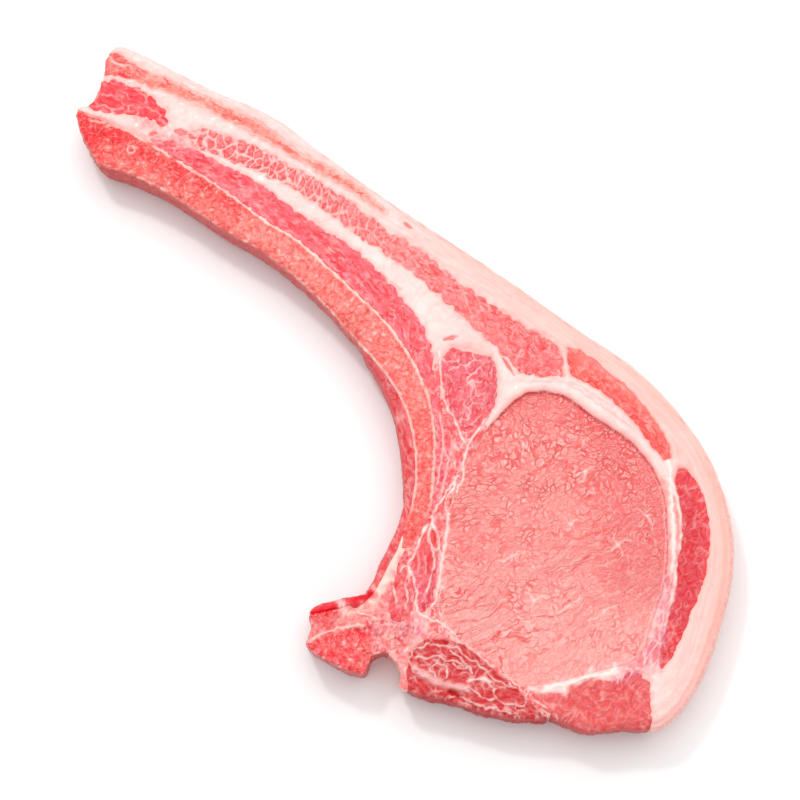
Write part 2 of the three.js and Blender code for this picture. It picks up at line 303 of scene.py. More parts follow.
class Slice:
    """The chop seen from above: a grid of points, each in one piece or in the air.

    The mesh vertices sit between the points, one for each square of four points, so that two pieces
    that meet have the same vertices along their seam.
    """

    def __init__(self, sizes):
        self.sizes = sizes
        self.step = sizes.detail
        outlines = {node: section(node, SECTION_LEVEL) for node in NODES}
        every = np.concatenate(list(outlines.values())).reshape(-1, 2)
        low, high = every.min(0) - MARGIN, every.max(0) + MARGIN
        self.xs = np.arange(low[0], high[0], self.step)
        self.ys = np.arange(low[1], high[1], self.step)
        self.x, self.y = np.meshgrid(self.xs, self.ys)
        inside = {node: filled(outlines[node], self.xs, self.ys) for node in NODES}
        covered = self.close(np.any(list(inside.values()), axis=0))
        self.rim = self.rim_depth(outlines, covered)
        inset, self.drop, self.foot, self.rough = self.edge_shape()
        ragged = layered(self.x, self.y, 3.6, 3) + 0.45 * swells(self.x, self.y, 1.5, 4)
        self.top = self.rim - inset + self.rough * ragged + 0.25 * layered(self.x, self.y, 9.0, 5)
        self.depth = self.piece_depths(outlines, inside)
        self.label = np.where(self.top > 0, self.depth.argmax(0) + 1, AIR)
        self.tidy_labels()
        self.place_vertices()

    def close(self, covered):
        """Fills the fine gaps between neighbouring solids."""
        for _ in range(2):
            across = np.roll(covered, 1, 1) & np.roll(covered, -1, 1)
            along = np.roll(covered, 1, 0) & np.roll(covered, -1, 0)
            covered = covered | across | along
        return covered

    def rim_depth(self, outlines, covered):
        """Distance in from the chop's outer outline, negative outside it."""
        look = 3 * SOLID_GAP
        free = []
        for segments in outlines.values():
            run = segments[:, 1] - segments[:, 0]
            long_enough = np.hypot(run[:, 0], run[:, 1]) > 1e-6
            segments, run = segments[long_enough], run[long_enough]
            side = np.stack([-run[:, 1], run[:, 0]], 1) / np.hypot(run[:, 0], run[:, 1])[:, None]
            middle = segments.mean(1)
            open_side = ~self.at(covered, middle + look * side) | ~self.at(covered, middle - look * side)
            free.append(segments[open_side])
        away = distance(self.x, self.y, np.concatenate(free))
        depth = np.where(covered, away, -away)
        for _ in range(8):  # softens the facets of the outline
            depth = (2 * depth + np.roll(depth, 1, 0) + np.roll(depth, -1, 0)) / 4
            depth = (2 * depth + np.roll(depth, 1, 1) + np.roll(depth, -1, 1)) / 4
        return depth

    def at(self, field, points):
        """The field's values at the grid points nearest to the given points."""
        column = np.rint((points[:, 0] - self.xs[0]) / self.step).astype(int)
        row = np.rint((points[:, 1] - self.ys[0]) / self.step).astype(int)
        return field[row.clip(0, len(self.ys) - 1), column.clip(0, len(self.xs) - 1)]

    def edge_shape(self):
        """The edge's inset, drop, foot and raggedness, blended between the places round the rim."""
        totals = np.zeros((4, *self.x.shape))
        weights = np.zeros_like(self.x)
        for x, y, *shape in EDGE_PLACES:
            weight = ((self.x - x) ** 2 + (self.y - y) ** 2 + 9.0) ** -1.5
            totals += weight * np.array(shape)[:, None, None]
            weights += weight
        return totals / weights

    def piece_depths(self, outlines, inside):
        """Distance in from each piece's own outline, with lobes, one layer for each label."""
        depth = np.full((len(NODES), *self.x.shape), FAR, np.float32)
        bent_x, bent_y = bent(self.x, self.y, 4.0, 1.2, 21)
        border, middle, _ = cells(bent_x / LOBE_SIZE, bent_y / LOBE_SIZE, 23)
        lobes = 0.45 - middle - 0.25 * bell(border, 0.06) + 0.12 * swells(self.x, self.y, 1.6, 24)
        for node in NODES:
            if node == "fat":
                continue
            segments = outlines[node]
            low, high = segments.reshape(-1, 2).min(0), segments.reshape(-1, 2).max(0)
            columns = slice(*np.searchsorted(self.xs, (low[0] - WINDOW, high[0] + WINDOW)))
            rows = slice(*np.searchsorted(self.ys, (low[1] - WINDOW, high[1] + WINDOW)))
            part = rows, columns
            away = distance(self.x[part], self.y[part], segments)
            signed = np.where(inside[node][part], away, -away)
            depth[LABEL[node] - 1][part] = signed + LOBES.get(node, LEAST_LOBES) * lobes[part]
        depth[LABEL["fat"] - 1] = -np.delete(depth, LABEL["fat"] - 1, 0).max(0) - SOLID_GAP
        return depth

    def tidy_labels(self):
        """Gives stray points, loose specks and corner-to-corner touches to their neighbours."""
        for _ in range(3):
            around = np.stack([np.roll(self.label, s, a) for s, a in ((1, 0), (-1, 0), (1, 1), (-1, 1))])
            alike = (around == self.label).sum(0)
            self.label = np.where(alike <= 1, around[0], self.label)
        for label in range(1, len(NODES) + 1):
            self.keep_largest(label)
        for _ in range(4):
            a, b = self.label[:-1, :-1], self.label[:-1, 1:]
            c, d = self.label[1:, :-1], self.label[1:, 1:]
            crossed = ((a == d) | (b == c)) & (a != b) & (a != c) & (b != d) & (c != d)
            rows, columns = np.nonzero(crossed)
            self.label[rows, columns] = self.label[rows, columns + 1]

    def keep_largest(self, label):
        """Only the largest patch of a piece stays; smaller ones go to what lies round them."""
        waiting = self.label == label
        patches = []
        for start in zip(*np.nonzero(waiting)):
            if not waiting[start]:
                continue
            waiting[start] = False
            patch = [start]
            for row, column in patch:
                for next_one in ((row + 1, column), (row - 1, column), (row, column + 1), (row, column - 1)):
                    if waiting[next_one]:
                        waiting[next_one] = False
                        patch.append(next_one)
            patches.append(patch)
        patches.sort(key=len)
        for patch in patches[:-1]:
            for row, column in patch:
                others = self.depth[:, row, column].copy()
                others[label - 1] = FAR
                self.label[row, column] = others.argmax() + 1

    def place_vertices(self):
        """Puts each vertex on the seam that passes between its four points, or in their middle."""
        label, step = self.label, self.step
        total = np.zeros((2, label.shape[0] - 1, label.shape[1] - 1))
        count = np.zeros(total.shape[1:])
        for across in (True, False):
            first = label[:, :-1] if across else label[:-1]
            second = label[:, 1:] if across else label[1:]
            lead_1, lead_2 = self.leads(first, second, across)
            share = np.clip(lead_1 / np.where(lead_1 - lead_2 == 0, 1, lead_1 - lead_2), 0.04, 0.96)
            share = np.where((lead_1 > 0) & (lead_2 < 0), share, 0.5)
            differ = first != second
            start_x = self.x[:, :-1] if across else self.x[:-1]
            start_y = self.y[:, :-1] if across else self.y[:-1]
            cut_x = start_x + (share * step if across else 0)
            cut_y = start_y + (0 if across else share * step)
            cut = np.stack([cut_x, cut_y]) * differ
            if across:
                total += cut[:, :-1] + cut[:, 1:]
                count += differ[:-1].astype(float) + differ[1:]
            else:
                total += cut[:, :, :-1] + cut[:, :, 1:]
                count += differ[:, :-1].astype(float) + differ[:, 1:]
        middle = np.stack([self.x[:-1, :-1] + step / 2, self.y[:-1, :-1] + step / 2])
        self.place = np.where(count > 0, total / np.maximum(count, 1), middle)
        self.seam = count > 0
        air = label == AIR
        self.open = air[:-1, :-1] | air[:-1, 1:] | air[1:, :-1] | air[1:, 1:]
        self.top_depth = np.where(self.open, 0.0, self.squares(self.top).clip(0))
        self.edge_inset = self.squares(self.rim - self.top)
        self.drop, self.foot, self.rough = map(self.squares, (self.drop, self.foot, self.rough))
        slope_y, slope_x = np.gradient(self.rim, step)
        out_x, out_y = -self.squares(slope_x), -self.squares(slope_y)
        length = np.hypot(out_x, out_y) + 1e-9
        self.outward = np.stack([out_x / length, out_y / length])

    def leads(self, first, second, across):
        """How far each of two neighbouring points is on its own side of the seam between them."""
        def pick(field, one):
            if across:
                return field[..., :-1] if one else field[..., 1:]
            return field[..., :-1, :] if one else field[..., 1:, :]

        results = []
        for one in (True, False):
            stack, top = pick(self.depth, one), pick(self.top, one)
            of_first = np.take_along_axis(stack, np.maximum(first - 1, 0)[None], 0)[0]
            of_second = np.take_along_axis(stack, np.maximum(second - 1, 0)[None], 0)[0]
            lead = of_first - of_second
            lead = np.where(second == AIR, top, lead)
            results.append(np.where(first == AIR, -top, lead))
        return results

    def squares(self, field):
        """A field of the points, averaged over each square of four."""
        return (field[:-1, :-1] + field[:-1, 1:] + field[1:, :-1] + field[1:, 1:]) / 4

    def seam_depth(self, label):
        """Distance in from the piece's seams, at the vertices."""
        others = np.delete(self.depth, label - 1, 0).max(0)
        depth = self.squares((self.depth[label - 1] - others) / 2)
        return np.where(self.seam & ~self.open, 0.0, depth.clip(0))

    def level(self, x, y, rim, drop):
        """Height of the seams on the upper cut face."""
        low_back = bell(np.hypot(x - 20, y + 108), 26)
        shoulder = drop * (1 - smooth(rim, 0.0, 1.2 + 0.9 * drop)) ** 1.3
        return self.sizes.thickness + self.sizes.swell * layered(x, y, 34, 5) - 0.6 * low_back - shoulder


# ---- Surface of each piece: relief and the masks that its material reads ------------------------

# Masks: the dark creases between fibre bundles, partly darker tissue and partly painted shade in the grooves,
# together with painted shade in crevices and hollows; a painted highlight beside a crease, together with
# other pale lines and specks; tag of the bundle; web of white tissue; tone from dark (-1) to pale (+1);
# blood; shade for a second colour of the piece; the purple sheath of tissue that lies over several pieces;
# meaty for pink meat strands in fat or bone; and how clearly the fine bundles and the long furrows of the
# fibres show.
MASKS = ("crease", "light", "tag", "web", "tone", "blood", "shade", "sheath", "meaty", "bundles", "furrow")

# Where the purple sheath shows: down the loin eye's lower right side and beside the backbone.
SHEATH = [
    [(90.0, -68), (88.0, -79), (85.6, -90), (83.8, -97)], [(84.6, -90), (80, -96.5), (72, -101.5)],
    [(-9.6, -84.6), (-4.9, -83.2), (0, -84), (5.4, -85.6)], [(-1.4, -78), (-0.6, -84.8), (0.6, -87.6)],
]
SHEATHED = ("loin_eye", "fat", "lower_muscle", "cap_back", "chine_bone")
# Wet red clot at the upper corner of the backbone, and the thin red streak that runs on from it.
WET_BLOB = [
    [(-31, -80.8), (-28, -79.4), (-25, -78.8), (-22.4, -78.4)],
    [(-15.6, -75.4), (-13, -74.6), (-10.6, -73.4)],
]
# Dark slits in the tangled tissue beside the backbone.
BACKBONE_SLITS = [
    [(-1.8, -88), (0, -89.4), (1.2, -90.4)], [(-11.6, -82.7), (-10.3, -84.8)], [(-1.4, -92.2), (-0.6, -93.2)],
    [(13.6, -88.6), (15.2, -89.4)],
]
# Ragged cream fat between the loin eye and the muscle below it.
CREAM_SEAM = [
    [(46.6, -106), (49.3, -104.8), (52, -103.2), (55.6, -103.4), (60, -101.8), (66.3, -100.2), (72.3, -99.4)],
    [(62, -101), (63.4, -98.4)], [(70, -99.6), (71.4, -97.4)], [(54, -103.4), (55, -106)],
]
# The seam of fat between the loin eye and the back of the cap: two white strands, a tooth that runs out
# of the right one, and a narrow pink crevice between them.
SEAM_LEFT = [
    (88.6, -22), (90.7, -31.3), (91.2, -41.5), (91.6, -51.7), (91.4, -61.8), (89.9, -71.9), (88, -81.9),
]
SEAM_RIGHT = [
    (91.6, -35.4), (93.5, -43.2), (94.9, -51.7), (93.7, -60.1), (91.6, -70.2), (89.2, -80.2), (87.5, -88.6),
]
SEAM_TOOTH = [(94.6, -51.6), (96.4, -55.2)]
SEAM_CREVICE = [(91.4, -36), (92.5, -43), (93.3, -51.5), (92.6, -60), (90.8, -70), (88.9, -79)]
# Thin white line along the trimmed edge of the loin eye.
EYE_BORDER = [
    [(15.1, -85.2), (21.4, -89.9), (26.7, -94.2), (31.4, -97.8), (39, -103.8), (42.6, -107.4), (47.9, -110.7),
     (52.1, -114.3)],
]

# Centre of the circle that the rib's hollow side follows.
RIB_CENTRE = (-108.0, -54.0)
RIB_TURN = 110.0  # millimetres along the rib for one radian round that centre


def along(x, y, angle):
    """Coordinates along and across a direction, given in degrees from +X."""
    turn = math.radians(angle)
    return x * math.cos(turn) + y * math.sin(turn), y * math.cos(turn) - x * math.sin(turn)


def round_rib(x, y):
    """Coordinates along and across the curved rib."""
    from_x, from_y = x - RIB_CENTRE[0], y - RIB_CENTRE[1]
    return np.arctan2(from_y, from_x) * RIB_TURN, np.hypot(from_x, from_y)


def surface_of(x, y, flow=None, **masks):
    """The masks of a piece, with nothing where none is given, and the coordinates along its fibres."""
    given = {name: masks.get(name, np.zeros_like(x)) + 0.0 for name in (*MASKS, "height")}
    return {"flow": flow or (x, y), **given}


def tangle(x, y, surface, cover, seed):
    """Adds what tangled tissue shows where it covers: soft lumps, curled white threads and dark slits."""
    bent_x, bent_y = bent(1.3 * x, 0.8 * y, 2.6, 0.9, seed)
    border, _, tag = cells(bent_x / 2.0, bent_y / 2.0, seed + 2, 1.0)
    patches = smooth(swells(x, y, 3.0, seed + 3), -0.5, 0.3)
    threads = np.maximum(
        curls(bent_x, bent_y, 1.5, 0.13, seed + 4), veins(bent_x, bent_y, 3.0, 0.17, seed + 5)) * patches
    slits = curls(bent_x, bent_y, 3.4, 0.2, seed + 7) * smooth(swells(x, y, 2.6, seed + 8), 0.0, 0.4)
    surface["height"] = surface["height"] + cover * (
        0.4 * (smooth(2 * border, 0.0, 0.6) - 0.6) + 0.15 * threads - 0.5 * slits)
    surface["web"] = np.maximum(surface["web"], 0.6 * cover * threads * (1 - slits))
    between = np.maximum(0.7 * slits, 0.4 * bell(2 * border, 0.22))
    surface["crease"] = np.maximum(surface["crease"], cover * between)
    surface["tone"] = surface["tone"] + cover * (1.2 * (tag - 0.5) - 0.1)


def drape(node, x, y, surface):
    """Adds the tissue that runs across the seams: purple sheath, cream seam and fine white edges."""
    if node in ("fat", "rib_tendon", "chine_bone"):
        tangle(x, y, surface, np.minimum(1.0, surface["meaty"] * 1.3), 1640)
    if node in SHEATHED:
        cover = np.minimum(1.0, 1.5 * drawn(x, y, SHEATH, 1.8, 1601))
        cover = cover * smooth(layered(x, y, 4, 1602), -1.1, 0.0)
        surface["sheath"] = cover
        down, over = along(x, y, 70)  # the sheath's own fibres
        down, over = bent(0.35 * down, over, 2.0, 0.5, 1611)
        surface["web"] = np.maximum.reduce([
            surface["web"] * (1 - 0.8 * cover), 0.6 * cover * veins(down, over, 1.9, 0.16, 1603),
            0.5 * drawn(x, y, SHEATH[2:], 0.4, 1610)])
        streaks = curls(down, over, 1.5, 0.24, 1604)
        surface["crease"] = np.maximum(surface["crease"] * (1 - cover), 0.75 * cover * streaks)
    slits = drawn(x, y, BACKBONE_SLITS, 0.42, 1609)
    wet = drawn(x, y, WET_BLOB, 2.8, 1231)
    surface["height"] = surface["height"] - 0.7 * slits + 0.8 * wet
    surface["web"] = surface["web"] * (1 - slits) * (1 - wet)
    surface["crease"] = np.maximum(surface["crease"] * (1 - wet), slits)
    surface["blood"] = np.maximum(surface["blood"], 0.95 * wet)
    ragged = 0.55 * (1 + 0.7 * swells(x, y, 2.2, 1605))
    cream = drawn(x, y, CREAM_SEAM, 1.5, 1606) ** (1 / np.maximum(ragged, 0.2))
    border = 0.8 * drawn(x, y, EYE_BORDER, 0.3, 1607) * smooth(swells(x, y, 5, 1608), -0.6, 0.1)
    lines = np.maximum(0.8 * cream, border)
    surface["height"] = surface["height"] + 0.35 * cream + 0.2 * border
    if node not in ("rib_lining", "rib_bone"):
        sheets, holes, pockets = neck_tissue(x, y)
        lines = np.maximum(lines, sheets)
        surface["height"] = surface["height"] + 0.3 * sheets + 0.3 * pockets - 0.5 * holes
        surface["blood"] = np.maximum(surface["blood"] * (1 - sheets), 0.6 * holes)
        surface["tone"] = surface["tone"] - 1.4 * pockets
        surface["meaty"] = np.maximum(surface["meaty"], pockets)
    surface["web"] = np.maximum(surface["web"], lines)
    surface["crease"] = surface["crease"] * (1 - lines)
    surface["light"] = surface["light"] * (1 - lines)


def lean(x, y, depth, flow, long, wide, seed, cobble=0.16, crease=0.6, web=0.3, web_size=5.0,
         web_width=0.22, tone=0.0, mottle=0.4, sway=0.35, threads=0.3, pale_edge=0.0, furrow=0.5):
    """Meat cut across its grain: bundles of fibres, long by wide, with webs of white tissue."""
    u, v = round_rib(x, y) if flow == "rib" else along(x, y, flow)
    u = u + sway * long * swells(x, y, long * 1.3, seed + 31) + 0.5 * swells(x, y, 1.7, seed + 33)
    v = v + sway * wide * swells(x, y, wide * 1.7, seed + 32) + 0.5 * swells(x, y, 1.7, seed + 34)
    border, _, tag = cells(u / long, v / wide, seed, 1.0)
    narrow = border * min(long, wide)
    _, _, fine_tag = cells(x / 0.9, y / 0.9, seed + 40)
    strength = smooth(layered(x, y, 6, seed + 41), -0.6, 0.5)
    thread = curls(u * wide / long, v, 1.1 * wide, 0.14, seed + 42)
    thread = thread * smooth(swells(x, y, 4, seed + 43), -0.4, 0.4)
    net = veins(u * (wide / long) ** 0.5, v, web_size, web_width, seed + 50)
    net = net * smooth(layered(x, y, 9, seed + 60), -0.45, 0.4)
    return surface_of(
        x, y, (u, v),
        height=cobble * (smooth(narrow, 0.0, 0.7) - 0.75) + 0.07 * thread
        + 0.16 * layered(x, y, 2.0, seed + 61),
        # Dark crease between the bundles, partly darker tissue and partly painted shade in the groove; a
        # painted highlight just inside each border
        crease=0.7 * crease * bell(narrow, 0.24) * strength,
        light=0.35 * bell(narrow - 0.5, 0.2) * smooth(swells(x, y, 3.5, seed + 47), -0.3, 0.5),
        bundles=0.55 + 0.45 * strength,
        furrow=furrow * smooth(swells(x, y, 5, seed + 48), -0.5, 0.4),
        tag=0.6 * tag + 0.4 * fine_tag,
        web=np.maximum(web * net, threads * thread),
        tone=tone + mottle * layered(x, y, 10, seed + 90) + 0.3 * swells(x, y, 2.2, seed + 91)
        + pale_edge * bell(depth, 1.5),
    )


# Stars of marbling in the loin eye: a middle and the tips of the threads that run out from it.
EYE_STARS = [
    ((41.4, -22.4), (40.4, -18.2), (41.1, -26.6), (43.4, -24.2)),
    ((62.3, -31.6), (65.4, -30), (61.5, -35), (58.6, -32.8)),
    ((62, -21.4), (63, -20.4)), ((57, -49.6), (55.2, -47), (58.6, -52), (59.6, -48.4)),
    ((73, -56.7), (77.6, -54.8), (74.5, -60.4), (68.8, -59), (71.4, -52.6)),
    ((83.3, -46.9), (80, -44.4), (84.6, -51.6)), ((44.6, -75.2), (43, -71), (43, -78), (49, -74.4)),
    ((56, -77.2), (51.5, -79.5), (61, -74.8)), ((68, -79.2), (62.8, -82), (72.4, -77)),
    ((42.5, -82.6), (39.4, -80.8), (44, -86)), ((37.4, -60.4), (32.6, -62.2), (42, -59)),
]
# Where the fat overhangs the eye: painted shade along the eye's edge in the crevice under it.
EYE_SHADOW = [
    [(33.7, -11.0), (37.8, -7.5), (41.9, -5.0), (45.3, -4.3)],
    [(58, -5.2), (64.3, -9.6), (71.7, -14.5), (77, -19)],
]


def star_threads(stars):
    """The threads of marbling stars as lines, each with a slight kink."""
    threads = []
    for middle, *tips in stars:
        for tip in tips:
            run_x, run_y = tip[0] - middle[0], tip[1] - middle[1]
            kink = middle[0] + 0.5 * run_x - 0.1 * run_y, middle[1] + 0.5 * run_y + 0.1 * run_x
            threads.append([middle, kink, tip])
    return threads


def loin_eye(slice_, x, y, depth, rim):
    """Pale loin meat: round bundles above, long curved ridges fanning out from the lower left."""
    fan = smooth(0.2 * (x - 40) - (y + 50), -20, 22)  # 0 near the upper edge, 1 in the lower part
    lie = 23 + 20 * smooth(x - y, 110, 165)  # the ridges' direction, steeper at the lower right
    u, v = along(x, y, 24)
    v = v - np.radians(lie - 24) * (u - 20) * 0.6
    u = u + 1.1 * swells(x, y, 5.0, 101) + 3.0 * swells(x, y, 24, 103) + 0.55 * swells(x, y, 1.8, 123)
    v = v + 0.8 * swells(x, y, 4.0, 102) + 3.6 * swells(x, y, 22, 104) + 0.55 * swells(x, y, 1.8, 124)
    round_border, _, round_tag = cells(u / 3.0, v / 2.4, 105, 1.0)
    long_border, _, long_tag = cells(u / 8.0, v / 2.3, 106, 1.0)
    share = fan * smooth(layered(x, y, 16, 107), -0.75, 0.2)
    border = round_border * 2.5 * (1 - share) + long_border * 2.3 * share
    tag = round_tag * (1 - share) + long_tag * share
    _, _, fine_tag = cells(x / 0.85, y / 0.85, 109)
    ridge = curls(u * 0.13, v, 2.8, 0.3, 125) * share  # long furrows between the ridges
    wisps = drawn(x, y, star_threads(EYE_STARS), 0.24, 110)
    cores = np.max([bell(np.hypot(x - star[0][0], y - star[0][1]), 0.7) for star in EYE_STARS], axis=0)
    step = smooth(0.25 * x + y, -22, 3)  # the eye lies lowest under the fat above it
    sink = slice_.sizes.eye_sink * (0.15 + 0.85 * step)
    dip = -sink * smooth(depth, 0.0, 0.5) + 0.8 * sink * smooth(depth, 1.2, 22)
    strong = 0.35 + 0.65 * smooth(layered(x, y, 7, 112), -0.6, 0.5)
    dusky = bell(np.hypot(x - 81, (y + 40) / 2.4), 12)  # mauve beside the seam to the cap
    top, right = smooth(y + 0.1 * x, -18, -3), smooth(x + 0.12 * y, 53, 68) * smooth(y, -84, -66)
    corner = bell(np.hypot(x - 27, y + 12), 12)
    middle = bell(np.hypot(x - 45, (y + 38) / 1.5), 20)
    # Painted shade under the fat's overhang: the darkest strip along the crevice, and a dark line along the
    # eye's edge where it sinks under the fat
    shade_under_fat = drawn(x, y, EYE_SHADOW, 0.55, 129)
    rim_shade_line = bell(depth - 0.3, 0.28) * step * (0.35 + 0.5 * smooth(swells(x, y, 6, 130), -0.4, 0.4))
    return surface_of(
        x, y, (u, v),
        height=dip + (0.16 + 0.08 * (1 - share)) * slice_.sizes.cobble * (smooth(border, 0.0, 0.8) - 0.8)
        + 0.3 * layered(x, y, 12, 111) + 0.1 * layered(x, y, 1.6, 127) - 0.25 * ridge + 0.05 * wisps,
        crease=np.maximum.reduce([
            0.34 * strong * bell(border, 0.2) * (1 - share), rim_shade_line, 1.2 * shade_under_fat]),
        light=0.6 * veins(u, v, 4.8, 0.13, 126) * smooth(layered(x, y, 8, 131), -0.5, 0.2)
        * (0.3 + 0.7 * share),
        bundles=0.65 + 0.35 * strong - 0.5 * share,
        furrow=share * (0.6 + 0.4 * strong) * (1 - 0.5 * smooth(x - y, 120, 150)),
        tag=0.4 * tag + 0.6 * fine_tag,
        web=0.6 * wisps + 0.4 * cores + 0.5 * bell(depth - 0.9, 0.16) * (1 - step) * smooth(x, 60, 80),
        # Painted shade too: the meat is darker within about 5 mm of the edge, most where the eye sinks under
        # the fat
        tone=0.2 * layered(x, y, 26, 115) - 0.4 * top - 0.85 * right - 0.45 * corner
        + 1.05 * smooth(-y, 54, 90) + 0.4 * middle - 0.3 * bell(depth, 5) * (step + 0.3 * right)
        - 0.25 * bell(np.hypot(x - 57, y + 88), 8) + 0.25 * swells(x, y, 2.4, 122)
        + 0.2 * layered(x, y, 7, 128) - 0.2 * dusky,
        shade=np.minimum(1.0, 0.5 * np.maximum(right, 0.7 * top) + 0.35 * dusky),
    )


def side_muscle(slice_, x, y, depth, rim):
    """Small round muscle above the loin eye: rosy, with clear white webs."""
    surface = lean(x, y, depth, 70, 3.2, 2.4, 200, crease=0.5, web=0.75, web_size=5.0, tone=-0.3, mottle=0.5)
    surface["shade"] = 0.6 * smooth(layered(x, y, 8, 201), -0.3, 0.6)
    return surface


# Thin sheets of tissue through the rib muscle where it narrows beside the loin eye.
RIB_SHEETS = [
    [(15.2, -4), (17.4, -20), (15.8, -30), (13.2, -41)], [(13.2, -12), (14.4, -22), (12.4, -36)],
    [(17.4, -20), (19.0, -13)], [(14.4, -24), (16.4, -28)],
]
# Pale lengthwise streak in the rib muscle, and its deep red core beside the bone.
RIB_STREAKS = [
    [(-8.8, 27.6), (-2, 17.1), (3.8, 4.9), (7.9, -7.2), (10.6, -21)], [(-64, 70), (-52, 63), (-40, 55)],
    [(-30, 49), (-21, 41), (-13, 33)],
]
RIB_CORE = [(-12.2, 28.6), (-5.4, 18.8), (0.4, 10.1), (4.5, -0.3), (7.9, -14.1)]


def rib_muscle(slice_, x, y, depth, rim):
    """Dark meat that follows the rib: long bundles, redder at its core and mauve at its lower end."""
    surface = lean(x, y, depth, "rib", 6.0, 2.2, 300, cobble=0.22, crease=0.55, web=0.3, web_size=4.2,
                   tone=-0.2, mottle=0.5, threads=0.35)
    _, across = round_rib(x, y)
    upper = smooth(across, 134, 140) * smooth(60 + x, 0, 30)
    core = smooth(depth, 0.6, 3.2)
    surface["tone"] += 0.6 * (1 - core) - 0.3 * core + 0.3 * upper
    low = smooth(-y, 0, 22)
    streaks = drawn(x, y, RIB_STREAKS, 0.5, 354) * smooth(swells(x, y, 4, 355), -0.6, 0.3)
    surface["web"] = np.maximum(surface["web"], 0.7 * drawn(x, y, RIB_SHEETS, 0.3, 351))
    surface["web"] = np.maximum(surface["web"], 0.35 * low * veins(x, y, 2.4, 0.2, 352))
    surface["light"] = np.maximum(surface["light"], 0.8 * streaks)
    surface["tone"] -= 0.55 * low + 0.4 * drawn(x, y, [RIB_CORE], 3.0, 356)
    surface["shade"] = 0.5 * low * smooth(layered(x, y, 5, 353), -0.4, 0.5)
    return surface


# White sheets of tissue round the rib's lower end, beside the loin eye and the small muscle above it.
NECK_SHEETS = [
    [(19.4, -33.3), (16.6, -37.1), (14.3, -40.8), (11.9, -44.2), (10.9, -46.6), (10.5, -49.3)],
    [(10.5, -49.3), (9.2, -52), (9.2, -55.1), (11.2, -60.1), (11.2, -63.5), (9.8, -68.5), (8.8, -72.5)],
    [(10.9, -49.3), (12.5, -55.1), (13.5, -59.4)],
    [(12.1, -81.9), (14.1, -83.6), (16.4, -85.2), (18.8, -87.9)],
    [(8.8, -49.6), (6.5, -55.1), (4.8, -59.1), (3.4, -61.8), (2.4, -64.5), (4.1, -66.8), (5.1, -71.9),
     (5.4, -78.9)],
    [(-0.2, -65.8), (1.4, -63.8), (2.8, -64.5)], [(5.4, -78.9), (7.8, -80.9), (10.4, -81.9), (12.1, -81.9)],
    [(13.4, 9.4), (13.7, -0.3), (15.4, -9), (18.4, -14.1), (21.1, -21), (22.8, -23.4)],
    [(29.3, -13.5), (26.2, -17.6), (22.8, -23.1), (21.4, -28.6), (21, -34), (18.7, -38.8)],
    [(1.6, -70), (2.2, -74), (1.6, -78)], [(-2.4, -71), (-1.4, -76)],
]
THICK_SHEET = [
    [(15.9, -46.3), (15.6, -51), (14.9, -56.7), (13.9, -60.4), (13.5, -65.2), (12.5, -70.2), (11.5, -75.2),
     (10.5, -77.2)],
    [(18.2, -36), (17.6, -38.6), (17.9, -37)],
]
FAINT_SHEETS = [[(6.1, -60.4), (5.8, -65.8)], [(8.1, -60.8), (8.5, -66.5)]]
# Pockets of flesh and vessels between the sheets: middle, half width, half length and turn in degrees.
POCKETS = [(16.3, -42, 1.3, 3.7, -12), (11.3, -54.6, 1.7, 4.4, 10), (13.8, -75.6, 1.15, 5.4, -4)]
VESSELS = [(7.8, -77.6, 0.9, 2.3, 8), (10.6, -79.6, 0.8, 1.6, 0)]
# Flesh that fills the seams there instead of fat.
FLESH = [
    [(14.4, 2.4), (15.4, -5.5), (17.4, -11.4), (19.4, -16.9), (21.1, -21.7)],
    [(26.2, -18.3), (23.5, -22.7), (21.1, -27.9), (19, -34.7), (16.6, -41.5), (14.6, -48.3), (13.5, -56.7),
     (12.8, -68.5), (12.1, -78.6), (13.1, -84.6)],
    [(8.8, -45.6), (6.5, -56.7), (4.1, -66.8), (2.4, -75.2), (1.4, -80.2)],
    [(24, -93.5), (31, -99.5), (38, -105), (45, -110.5)],
    [(11.6, 0), (12.6, -12), (13.8, -22), (14, -32), (12, -44)],
]
PALE_FLESH = [
    [(1.4, -84.2), (8.1, -87.2), (14.8, -88.6)], [(-0.9, -89.2), (1.4, -96.9), (0.4, -105.1)],
    [(77, -95), (82, -91)], [(44, -110), (50, -109)],
]


def ovals(x, y, places):
    """How far inside the nearest of some ovals each point is, 0 outside them and 1 in the middle."""
    inside = np.zeros_like(x)
    for place_x, place_y, half_wide, half_long, turn in places:
        across, along_it = along(x - place_x, y - place_y, turn)
        inside = np.maximum(inside, 1 - np.hypot(across / half_wide, along_it / half_long))
    return inside


def neck_tissue(x, y):
    """White sheets, and the pockets and vessels between them, where rib, backbone and loin eye meet."""
    if not np.any((np.abs(x - 12) < 20) & (np.abs(y + 40) < 52)):
        return (np.zeros_like(x),) * 3
    pockets, vessels = ovals(x, y, POCKETS), ovals(x, y, VESSELS)
    holes = smooth(vessels, 0.0, 0.3)
    filled_pockets = smooth(pockets, 0.0, 0.25)
    sheets = np.maximum(drawn(x, y, NECK_SHEETS, 0.36, 451), drawn(x, y, THICK_SHEET, 0.62, 455))
    sheets = np.maximum(sheets * (1 - 0.8 * filled_pockets), 0.4 * drawn(x, y, FAINT_SHEETS, 0.4, 456))
    rings = np.maximum(bell(pockets - 0.12, 0.12) * (pockets > 0), bell(vessels - 0.08, 0.16) * (vessels > 0))
    near = bell(np.hypot((x - 4) / 1.1, (y + 70) / 2.2), 9)
    net = 0.4 * veins(x, y, 2.6, 0.22, 452) * near * smooth(swells(x, y, 4, 457), -0.3, 0.4)
    return np.maximum.reduce([0.95 * sheets * (1 - holes), 0.8 * rings, net]), holes, filled_pockets


